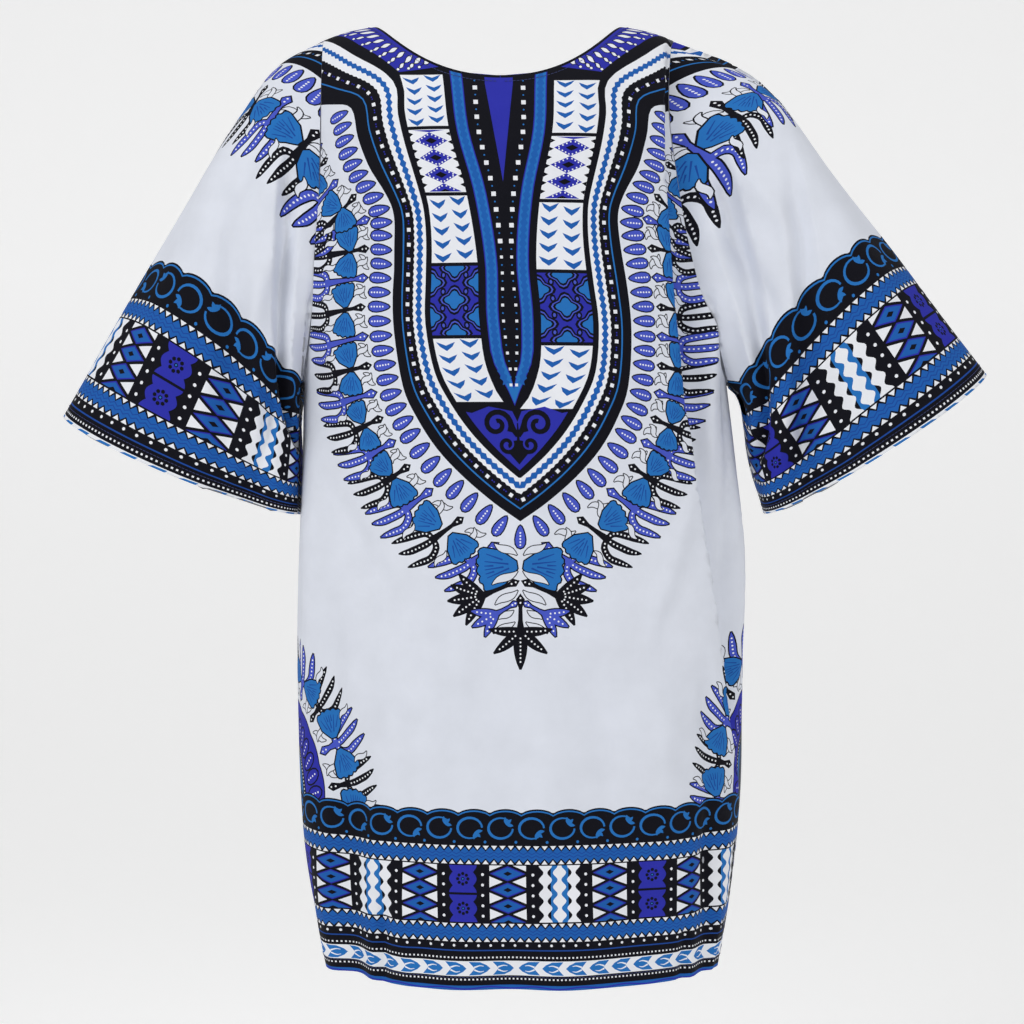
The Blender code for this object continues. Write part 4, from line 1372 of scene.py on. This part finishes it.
def build_cloth(name, cut, drawing, surface, away_from, pitch, material):
    """A closed shell of cloth: its printed face, the paler reverse one wall inside it, and the cut edge."""
    flat, triangles, tints = split_into_triangles(cut, drawing, pitch)
    border = border_of(triangles)
    back_flat, back_triangles, back_tints = split_into_triangles(loop_of(border, flat), drawing.bold(), pitch)
    points = surface(flat[:, 0], flat[:, 1])
    normals = surface_normals(surface, flat, away_from(flat))
    corner = points[triangles]
    facing = np.cross(corner[:, 1] - corner[:, 0], corner[:, 2] - corner[:, 0])
    if np.median(np.sum(facing * normals[triangles[:, 0]], axis=1)) < 0:
        triangles = triangles[:, ::-1]
        back_triangles = back_triangles[:, ::-1]
        border = border[:, ::-1]
    back_points = surface(back_flat[:, 0], back_flat[:, 1])
    back_normals = surface_normals(surface, back_flat, away_from(back_flat))
    first_back = len(points)
    below = nearest(flat[border], back_flat, np.unique(border_of(back_triangles))) + first_back
    rim = np.stack([border[:, 1], border[:, 0], below[:, 0], below[:, 1]], axis=1)
    rim = rim[below[:, 0] != below[:, 1]]
    every = np.concatenate([points, back_points - back_normals * CLOTH])
    reverse = back_triangles[:, ::-1]
    corners = np.concatenate([triangles.ravel(), (reverse + first_back).ravel(), rim.ravel()])
    sizes = np.concatenate([np.full(len(triangles) + len(reverse), 3), np.full(len(rim), 4)])
    mesh = bpy.data.meshes.new(name)
    mesh.vertices.add(len(every))
    mesh.vertices.foreach_set("co", every.ravel())
    mesh.loops.add(len(corners))
    mesh.loops.foreach_set("vertex_index", corners)
    mesh.polygons.add(len(sizes))
    mesh.polygons.foreach_set("loop_start", np.concatenate([[0], np.cumsum(sizes)[:-1]]))
    mesh.update(calc_edges=True)
    mesh.shade_smooth()
    uv = mesh.uv_layers.new(name="cut")
    uv.data.foreach_set("uv", np.concatenate([flat, back_flat])[corners].ravel())
    ink = mesh.color_attributes.new("ink", "FLOAT_COLOR", "CORNER")
    colour = np.ones((len(corners), 4), np.float32)
    part, whole = 3 * len(triangles), 3 * (len(triangles) + len(reverse))
    colour[:part, :3] = np.repeat(tints, 3, axis=0)
    paler = back_tints * REVERSE_SHOWS + np.array(GROUND) * (1 - REVERSE_SHOWS)
    colour[part:whole, :3] = np.repeat(paler, 3, axis=0)
    colour[whole:, :3] = np.array(GROUND) * CUT_EDGE_SHADE
    ink.data.foreach_set("color", colour.ravel())
    way = np.zeros((len(corners), 3), np.float32)
    way[:part] = normals[triangles.ravel()]
    way[part:whole] = -back_normals[reverse.ravel()]
    mesh.normals_split_custom_set(way.tolist())
    mesh.materials.append(material)
    cloth = bpy.data.objects.new(name, mesh)
    bpy.context.scene.collection.objects.link(cloth)
    return cloth


# ---------------------------------------------------------------- materials


def cotton(name):
    """Plain-weave cotton: the print's ink, a fine weave, uneven dye and a soft sheen."""
    material = bpy.data.materials.new(name)
    material.use_nodes = True
    nodes, links = material.node_tree.nodes, material.node_tree.links
    shader = nodes["Principled BSDF"]
    ink = nodes.new("ShaderNodeAttribute")
    ink.attribute_name = "ink"
    place = nodes.new("ShaderNodeTexCoord")
    uneven = nodes.new("ShaderNodeTexNoise")
    uneven.inputs["Scale"].default_value = 34
    uneven.inputs["Detail"].default_value = 6
    links.new(place.outputs["Object"], uneven.inputs["Vector"])
    level = nodes.new("ShaderNodeMapRange")
    level.inputs["To Min"].default_value = 0.90
    level.inputs["To Max"].default_value = 1.06
    links.new(uneven.outputs["Fac"], level.inputs["Value"])
    dyed = nodes.new("ShaderNodeMix")
    dyed.data_type = "RGBA"
    dyed.blend_type = "MULTIPLY"
    dyed.inputs["Factor"].default_value = 1.0
    links.new(ink.outputs["Color"], dyed.inputs["A"])
    links.new(level.outputs["Result"], dyed.inputs["B"])
    links.new(dyed.outputs["Result"], shader.inputs["Base Color"])
    cut = nodes.new("ShaderNodeUVMap")
    cut.uv_map = "cut"
    threads = nodes.new("ShaderNodeTexWave")
    threads.inputs["Scale"].default_value = 340
    threads.inputs["Distortion"].default_value = 1.2
    threads.bands_direction = "X"
    cross = nodes.new("ShaderNodeTexWave")
    cross.inputs["Scale"].default_value = 340
    cross.inputs["Distortion"].default_value = 1.2
    cross.bands_direction = "Y"
    links.new(cut.outputs["UV"], threads.inputs["Vector"])
    links.new(cut.outputs["UV"], cross.inputs["Vector"])
    weave = nodes.new("ShaderNodeMath")
    weave.operation = "ADD"
    links.new(threads.outputs["Fac"], weave.inputs[0])
    links.new(cross.outputs["Fac"], weave.inputs[1])
    rumple = nodes.new("ShaderNodeTexNoise")
    rumple.inputs["Scale"].default_value = 22
    rumple.inputs["Detail"].default_value = 4
    links.new(place.outputs["Object"], rumple.inputs["Vector"])
    soft = nodes.new("ShaderNodeBump")
    soft.inputs["Strength"].default_value = 0.42
    soft.inputs["Distance"].default_value = 0.0034
    links.new(rumple.outputs["Fac"], soft.inputs["Height"])
    bump = nodes.new("ShaderNodeBump")
    bump.inputs["Strength"].default_value = 0.22
    bump.inputs["Distance"].default_value = 0.00022
    links.new(weave.outputs["Value"], bump.inputs["Height"])
    links.new(soft.outputs["Normal"], bump.inputs["Normal"])
    links.new(bump.outputs["Normal"], shader.inputs["Normal"])
    shader.inputs["Roughness"].default_value = 0.78
    shader.inputs["Specular IOR Level"].default_value = 0.12
    shader.inputs["Sheen Weight"].default_value = 0.02
    shader.inputs["Sheen Roughness"].default_value = 0.5
    return material


def plain_material(name, colour, roughness):
    material = bpy.data.materials.new(name)
    material.use_nodes = True
    shader = material.node_tree.nodes["Principled BSDF"]
    shader.inputs["Base Color"].default_value = (*colour, 1)
    shader.inputs["Roughness"].default_value = roughness
    return material


# ---------------------------------------------------------------- the pieces


def neck_drop(panel, p):
    """The neck edge's depth at p: a shallow scoop at the back, a lower one with a notch at the front."""
    depth = BACK_NECK_DROP if panel == BACK else FRONT_NECK_DROP
    edge = depth * np.clip(1 - (np.abs(p) / NECK_HALF) ** 2.2, 0, 1) ** 0.75
    if panel == BACK:
        return edge
    return edge + (NOTCH_DROP - FRONT_NECK_DROP) * np.clip(1 - np.abs(p) / NOTCH_HALF, 0, 1)


def hem_drop(share):
    """The hem's place, which rises a little towards the sides."""
    return HEM_DROP - HEM_SIDE_RISE * np.abs(share) ** 3


def neck_line(panel):
    """The neck edge from its middle to the shoulder seam."""
    neck_p = NECK_HALF * np.sin(np.linspace(0.001, 1, 40) * math.pi / 2)
    if panel == FRONT:
        neck_p = np.concatenate([[0.0004], neck_p[neck_p > NOTCH_HALF * 1.02]])
        neck_p = np.insert(neck_p, 1, NOTCH_HALF)
    return paired(neck_p, neck_drop(panel, neck_p))


def panel_cut(panel):
    """The panel's cut: neck edge, shoulder seams, armholes, side seams and hem, in order."""
    neck = neck_line(panel)
    top_end = float((end_share(np.array([0.0])) * half_cloth(np.array([0.0])))[0])
    shoulder_p = np.linspace(NECK_HALF, top_end, 14)[1:-1]
    shoulder = paired(shoulder_p, 0 * shoulder_p + SEAM_GAP / 2)
    armhole_q = np.linspace(SEAM_GAP / 2, UNDERARM_DROP, 60)
    side_q = np.concatenate([armhole_q, np.linspace(UNDERARM_DROP, hem_drop(1.0), 90)[1:]])
    side = paired(end_share(side_q) * half_cloth(side_q) - SEAM_GAP / 2, side_q)
    share = np.linspace(1, 0, 45)[1:]
    hem_q = hem_drop(share)
    hem = paired(share * (half_cloth(hem_q) - SEAM_GAP / 2), hem_q)
    right = np.concatenate([neck, shoulder, side, hem])
    left = right[::-1] * (-1, 1)
    return np.concatenate([right, left[1:]])


def panel_surface(panel):
    """The panel's folded surface, half a seam's gap out from the other panel."""
    def surface(p, q):
        points = torso_folded(panel, p, q)
        points[..., 1] += panel * SEAM_GAP / 2
        return points

    return surface


def torso_middle(flat):
    """Places in the middle of the body, level with those on the flat cut."""
    return torso_axis(flat[:, 0], flat[:, 1])


def make_panel(name, panel, material):
    """A panel: its print, its cut and its cloth."""
    drawing = Drawing()
    edge = float(half_cloth(np.array([0.8]))[0]) + 0.03
    draw_neck_garland(drawing)
    draw_neck_motif(drawing)
    for side in (-1, 1):
        drawing.shape(ribbon(neck_line(panel) * (side, 1), 0.0052), BLACK)
        draw_side_medallion(drawing, side)

    def to_flat(points):
        share = np.clip(np.abs(points[:, 0]) / HEM_HALF, 0, 1)
        return paired(points[:, 0], hem_drop(share) - points[:, 1])

    draw_border(drawing, -edge, edge, BORDER_PHASE[panel], to_flat)
    cut = panel_cut(panel)
    cloth = build_cloth(name, cut, drawing, panel_surface(panel), torso_middle, PANEL_PITCH, material)
    finish_piece(cloth, name, (2 * float(half_cloth(np.array([0.6]))[0]), HEM_DROP))


def sleeve_reach(g):
    """The sleeve's length from the cuff up to the armhole seam, at g from the top fold."""
    return SLEEVE_TOP - (SLEEVE_TOP - SLEEVE_UNDER) * np.abs(g) / CUFF_HALF


def draw_sleeve(drawing, side):
    """The cap's bands, petals and flowers, and the cuff's border."""
    edge = np.linspace(-0.13, 0.13, 41)
    line = paired(edge, 0.3585 - 0.26 * np.abs(edge))
    places, _ = even_places(line + (0, -0.0035), 0.0122)
    for place in places:
        petal(drawing, place, (place[0] * 3.2, -1.0))
    path = line - (0, 0.0300)
    buds, _ = even_places(path, 0.0270)
    ways = paired(buds[:, 0] * 2.0, -np.ones(len(buds)))
    ways /= np.hypot(*ways.T)[:, None]
    draw_flower_ring(drawing, buds, ways, side == RIGHT, (0.027,) * len(buds), side)
    over_cap = np.array([(0.14, 0.50), (-0.14, 0.50)])
    for drop, colour in ((0.0, BLACK), (0.0105, SKY), (0.0118, BLACK), (0.0240, WHITE)):
        drawing.shape(np.concatenate([line + (0, drop), over_cap]), colour)
    places, _ = even_places(line + (0, 0.0180), 0.0048)
    drawing.squares(places[::2], 0.0019, math.pi / 4)
    drawing.squares(places[1::2], 0.0008, 0.0, SKY)
    zigzag_ribbon(drawing, line + (0, 0.0325), 0.0064, 0.0064, MID_BLUE)
    for drop, colour in ((0.0405, BLACK), (0.0440, ROYAL)):
        drawing.shape(np.concatenate([line + (0, drop), over_cap + (0, 0.02)]), colour)
    reach = CUFF_HALF + 0.01
    to_flat = lambda points: (points - (0, CUFF_BORDER_CUT)) * (1, CUFF_BORDER_TALL)
    draw_border(drawing, -reach, reach, CUFF_PHASE * side, to_flat)


def sleeve_surface(side):
    """The sleeve's folded surface, by places on the flat cut."""
    def surface(g, r):
        u = np.clip(g / CUFF_HALF, -1.0, 1.0)
        w = np.clip(1 - r / sleeve_reach(g), 0.0, 1.01)
        return sleeve_folded(side, u, w)

    return surface


def sleeve_middle(side, flat):
    """Places in the middle of the sleeve, level with those on the flat cut."""
    return sleeve_axis(side, np.clip(1 - flat[:, 1] / sleeve_reach(flat[:, 0]), 0, 1))


def make_sleeve(name, side, material):
    """A sleeve: its print, its cut and its cloth."""
    drawing = Drawing()
    draw_sleeve(drawing, side)
    g = np.linspace(-1, 1, 121) * (CUFF_HALF - SEAM_GAP / 2)
    seam = paired(g, sleeve_reach(g) - SEAM_GAP)
    cuff = paired(g[::-1], 0 * g)
    down = np.linspace(0, 1, 24)[1:-1, None]
    left_side = cuff[-1] + (seam[0] - cuff[-1]) * down
    right_side = seam[-1] + (cuff[0] - seam[-1]) * down
    cut = np.concatenate([seam, right_side, cuff, left_side])
    away_from = lambda flat: sleeve_middle(side, flat)
    cloth = build_cloth(name, cut, drawing, sleeve_surface(side), away_from, SLEEVE_PITCH, material)
    finish_piece(cloth, name, (2 * CUFF_HALF, SLEEVE_TOP))


def finish_piece(cloth, node, size):
    """Hangs a printed piece on the shirt's root and hides the imported part that it stands for."""
    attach(cloth, "root")
    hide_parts(node)


def stitch_tree(material):
    """Follows a line with evenly spaced stitches, each turned along it."""
    tree = bpy.data.node_groups.new("stitches", "GeometryNodeTree")
    tree.interface.new_socket("Geometry", in_out="INPUT", socket_type="NodeSocketGeometry")
    named = {}
    for name in ("Pitch", "Stitch length", "Thread width"):
        socket = tree.interface.new_socket(name, in_out="INPUT", socket_type="NodeSocketFloat")
        named[name] = socket.identifier
    tree.interface.new_socket("Geometry", in_out="OUTPUT", socket_type="NodeSocketGeometry")
    new, link = tree.nodes.new, tree.links.new
    given, made = new("NodeGroupInput"), new("NodeGroupOutput")
    curve = new("GeometryNodeMeshToCurve")
    spaced = new("GeometryNodeResampleCurve")
    spaced.mode = "LENGTH"
    along = new("GeometryNodeInputTangent")
    turned = new("FunctionNodeAlignRotationToVector")
    turned.axis = "X"
    size = new("ShaderNodeCombineXYZ")
    stitch = new("GeometryNodeMeshCube")
    copies = new("GeometryNodeInstanceOnPoints")
    real = new("GeometryNodeRealizeInstances")
    inked = new("GeometryNodeSetMaterial")
    inked.inputs["Material"].default_value = material
    link(given.outputs["Geometry"], curve.inputs["Mesh"])
    link(curve.outputs["Curve"], spaced.inputs["Curve"])
    link(given.outputs["Pitch"], spaced.inputs["Length"])
    link(given.outputs["Stitch length"], size.inputs["X"])
    link(given.outputs["Thread width"], size.inputs["Y"])
    link(given.outputs["Thread width"], size.inputs["Z"])
    link(size.outputs["Vector"], stitch.inputs["Size"])
    link(along.outputs["Tangent"], turned.inputs["Vector"])
    link(spaced.outputs["Curve"], copies.inputs["Points"])
    link(stitch.outputs["Mesh"], copies.inputs["Instance"])
    link(turned.outputs["Rotation"], copies.inputs["Rotation"])
    link(copies.outputs["Instances"], real.inputs["Geometry"])
    link(real.outputs["Geometry"], inked.inputs["Geometry"])
    link(inked.outputs["Geometry"], made.inputs["Geometry"])
    return tree, named


def make_stitches(name, tree, named, lines):
    """Rows of machine stitches along lines on the cloth."""
    points = np.concatenate(lines)
    ends, start = [], 0
    for line in lines:
        ends += [(start + i, start + i + 1) for i in range(len(line) - 1)]
        start += len(line)
    path = bpy.data.meshes.new(name)
    path.from_pydata(points.tolist(), ends, [])
    rows = bpy.data.objects.new(name, path)
    bpy.context.scene.collection.objects.link(rows)
    modifier = rows.modifiers.new("stitches", "NODES")
    modifier.node_group = tree
    for label, value in (("Pitch", 0.0034), ("Stitch length", 0.0025), ("Thread width", 0.00045)):
        modifier[named[label]] = value
    graph = bpy.context.evaluated_depsgraph_get()
    mesh = bpy.data.meshes.new_from_object(rows.evaluated_get(graph))
    rows.modifiers.clear()
    rows.data = mesh
    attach(rows, "root")


def on_cloth(surface, away_from, flat, proud=0.00015):
    """A line drawn on the flat piece, put on the outside of the cloth."""
    return surface(flat[:, 0], flat[:, 1]) + surface_normals(surface, flat, away_from(flat)) * proud


def cuff_stitch_line(side):
    """The line of stitches round a cuff."""
    g = np.linspace(-0.985, 0.985, 320) * CUFF_HALF
    flat = paired(g, 0 * g + CUFF_STITCH)
    return on_cloth(sleeve_surface(side), lambda at: sleeve_middle(side, at), flat)


def panel_stitch_lines(panel):
    """The lines of stitches along a panel's hem and neck."""
    surface = panel_surface(panel)
    share = np.linspace(-0.985, 0.985, 400)
    hem_q = hem_drop(share) - HEM_STITCH
    lines = [paired(share * half_cloth(hem_q), hem_q)]
    half = neck_line(panel)
    if panel == FRONT:
        half = half[1:]
    step = np.gradient(half, axis=0)
    inside = half + left_of(step) / np.hypot(*step.T)[:, None] * NECK_STITCH
    inside = inside[(inside[:, 0] > 0.0005) & (inside[:, 1] > 0.004)]
    lines += [smooth_path(inside, 4) * (side, 1) for side in (-1, 1)]
    return [on_cloth(surface, torso_middle, line) for line in lines]


def make_facing():
    """The strip inside the neck edge, which shows only as a sliver."""
    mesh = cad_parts["neck_facing"].data.copy()
    shape = bmesh.new()
    shape.from_mesh(mesh)
    bmesh.ops.remove_doubles(shape, verts=shape.verts, dist=1e-6)
    shape.to_mesh(mesh)
    shape.free()
    mesh.materials.clear()
    mesh.materials.append(plain_material("blue cotton", ROYAL, 0.8))
    mesh.shade_smooth()
    facing = bpy.data.objects.new("neck_facing_cloth", mesh)
    bpy.context.scene.collection.objects.link(facing)
    length = sum(2 * float(lengths_along(neck_line(panel))[-1]) for panel in (BACK, FRONT))
    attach(facing, "root")
    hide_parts("neck_facing")


def make_stage():
    """A pale floor that curves up behind the shirt."""
    floor = bpy.data.meshes.new("floor")
    width, front, back, height, bend = 6.0, -6.0, 2.6, 4.0, 1.2
    turn = np.linspace(0, math.pi / 2, 13)
    profile = [(front, 0.0)] + [(back + bend * math.sin(a), bend * (1 - math.cos(a))) for a in turn]
    profile.append((back + bend, height))
    base = cad_box[0][2] - 0.25
    points = [(x, y, base + z) for y, z in profile for x in (-width, width)]
    faces = [(2 * i, 2 * i + 1, 2 * i + 3, 2 * i + 2) for i in range(len(profile) - 1)]
    floor.from_pydata(points, [], faces)
    floor.shade_smooth()
    pale = plain_material("pale floor", (0.97, 0.97, 0.97), 0.9)
    pale.node_tree.nodes["Principled BSDF"].inputs["Emission Color"].default_value = (1, 1, 1, 1)
    pale.node_tree.nodes["Principled BSDF"].inputs["Emission Strength"].default_value = 0.18
    floor.materials.append(pale)
    stage = bpy.data.objects.new("floor", floor)
    bpy.context.scene.collection.objects.link(stage)


def make_lights():
    """A soft grey-white surround and three broad lamps."""
    world = bpy.data.worlds.new("studio")
    world.use_nodes = True
    world.node_tree.nodes["Background"].inputs["Color"].default_value = (1, 1, 1, 1)
    world.node_tree.nodes["Background"].inputs["Strength"].default_value = 0.425
    bpy.context.scene.world = world
    for name, place, size, power in (
        ("key", (-2.2, -2.2, 1.1), 1.4, 37),
        ("fill", (2.2, -2.0, 0.5), 1.6, 18),
        ("top", (0.0, -0.4, 2.0), 1.8, 14),
    ):
        light = bpy.data.lights.new(name, "AREA")
        light.shape = "DISK"
        light.size = size
        light.energy = power
        lamp = bpy.data.objects.new(name, light)
        lamp.location = place
        aim = Vector((0, 0, -0.42)) - Vector(place)
        lamp.rotation_euler = aim.to_track_quat("-Z", "Y").to_euler()
        bpy.context.scene.collection.objects.link(lamp)


def make_camera():
    """A level camera in front of the back panel."""
    data = bpy.data.cameras.new("camera")
    data.sensor_width = 36
    data.lens = 94.7
    camera = bpy.data.objects.new("camera", data)
    camera.location = (-0.0071, -2.4, -0.432)
    camera.rotation_euler = (math.pi / 2, 0, 0)
    bpy.context.scene.collection.objects.link(camera)
    bpy.context.scene.camera = camera


material = cotton("printed cotton")
make_panel("back_panel", BACK, material)
make_panel("front_panel", FRONT, material)
make_sleeve("sleeve_left", LEFT, material)
make_sleeve("sleeve_right", RIGHT, material)
make_facing()
thread = plain_material("dark blue thread", (0.02, 0.03, 0.12), 0.6)
tree, named = stitch_tree(thread)
make_stitches("panel_stitches", tree, named, panel_stitch_lines(BACK) + panel_stitch_lines(FRONT))
make_stitches("sleeve_stitches", tree, named, [cuff_stitch_line(LEFT), cuff_stitch_line(RIGHT)])
make_stage()
make_lights()
make_camera()
bpy.context.scene.view_settings.view_transform = "Standard"
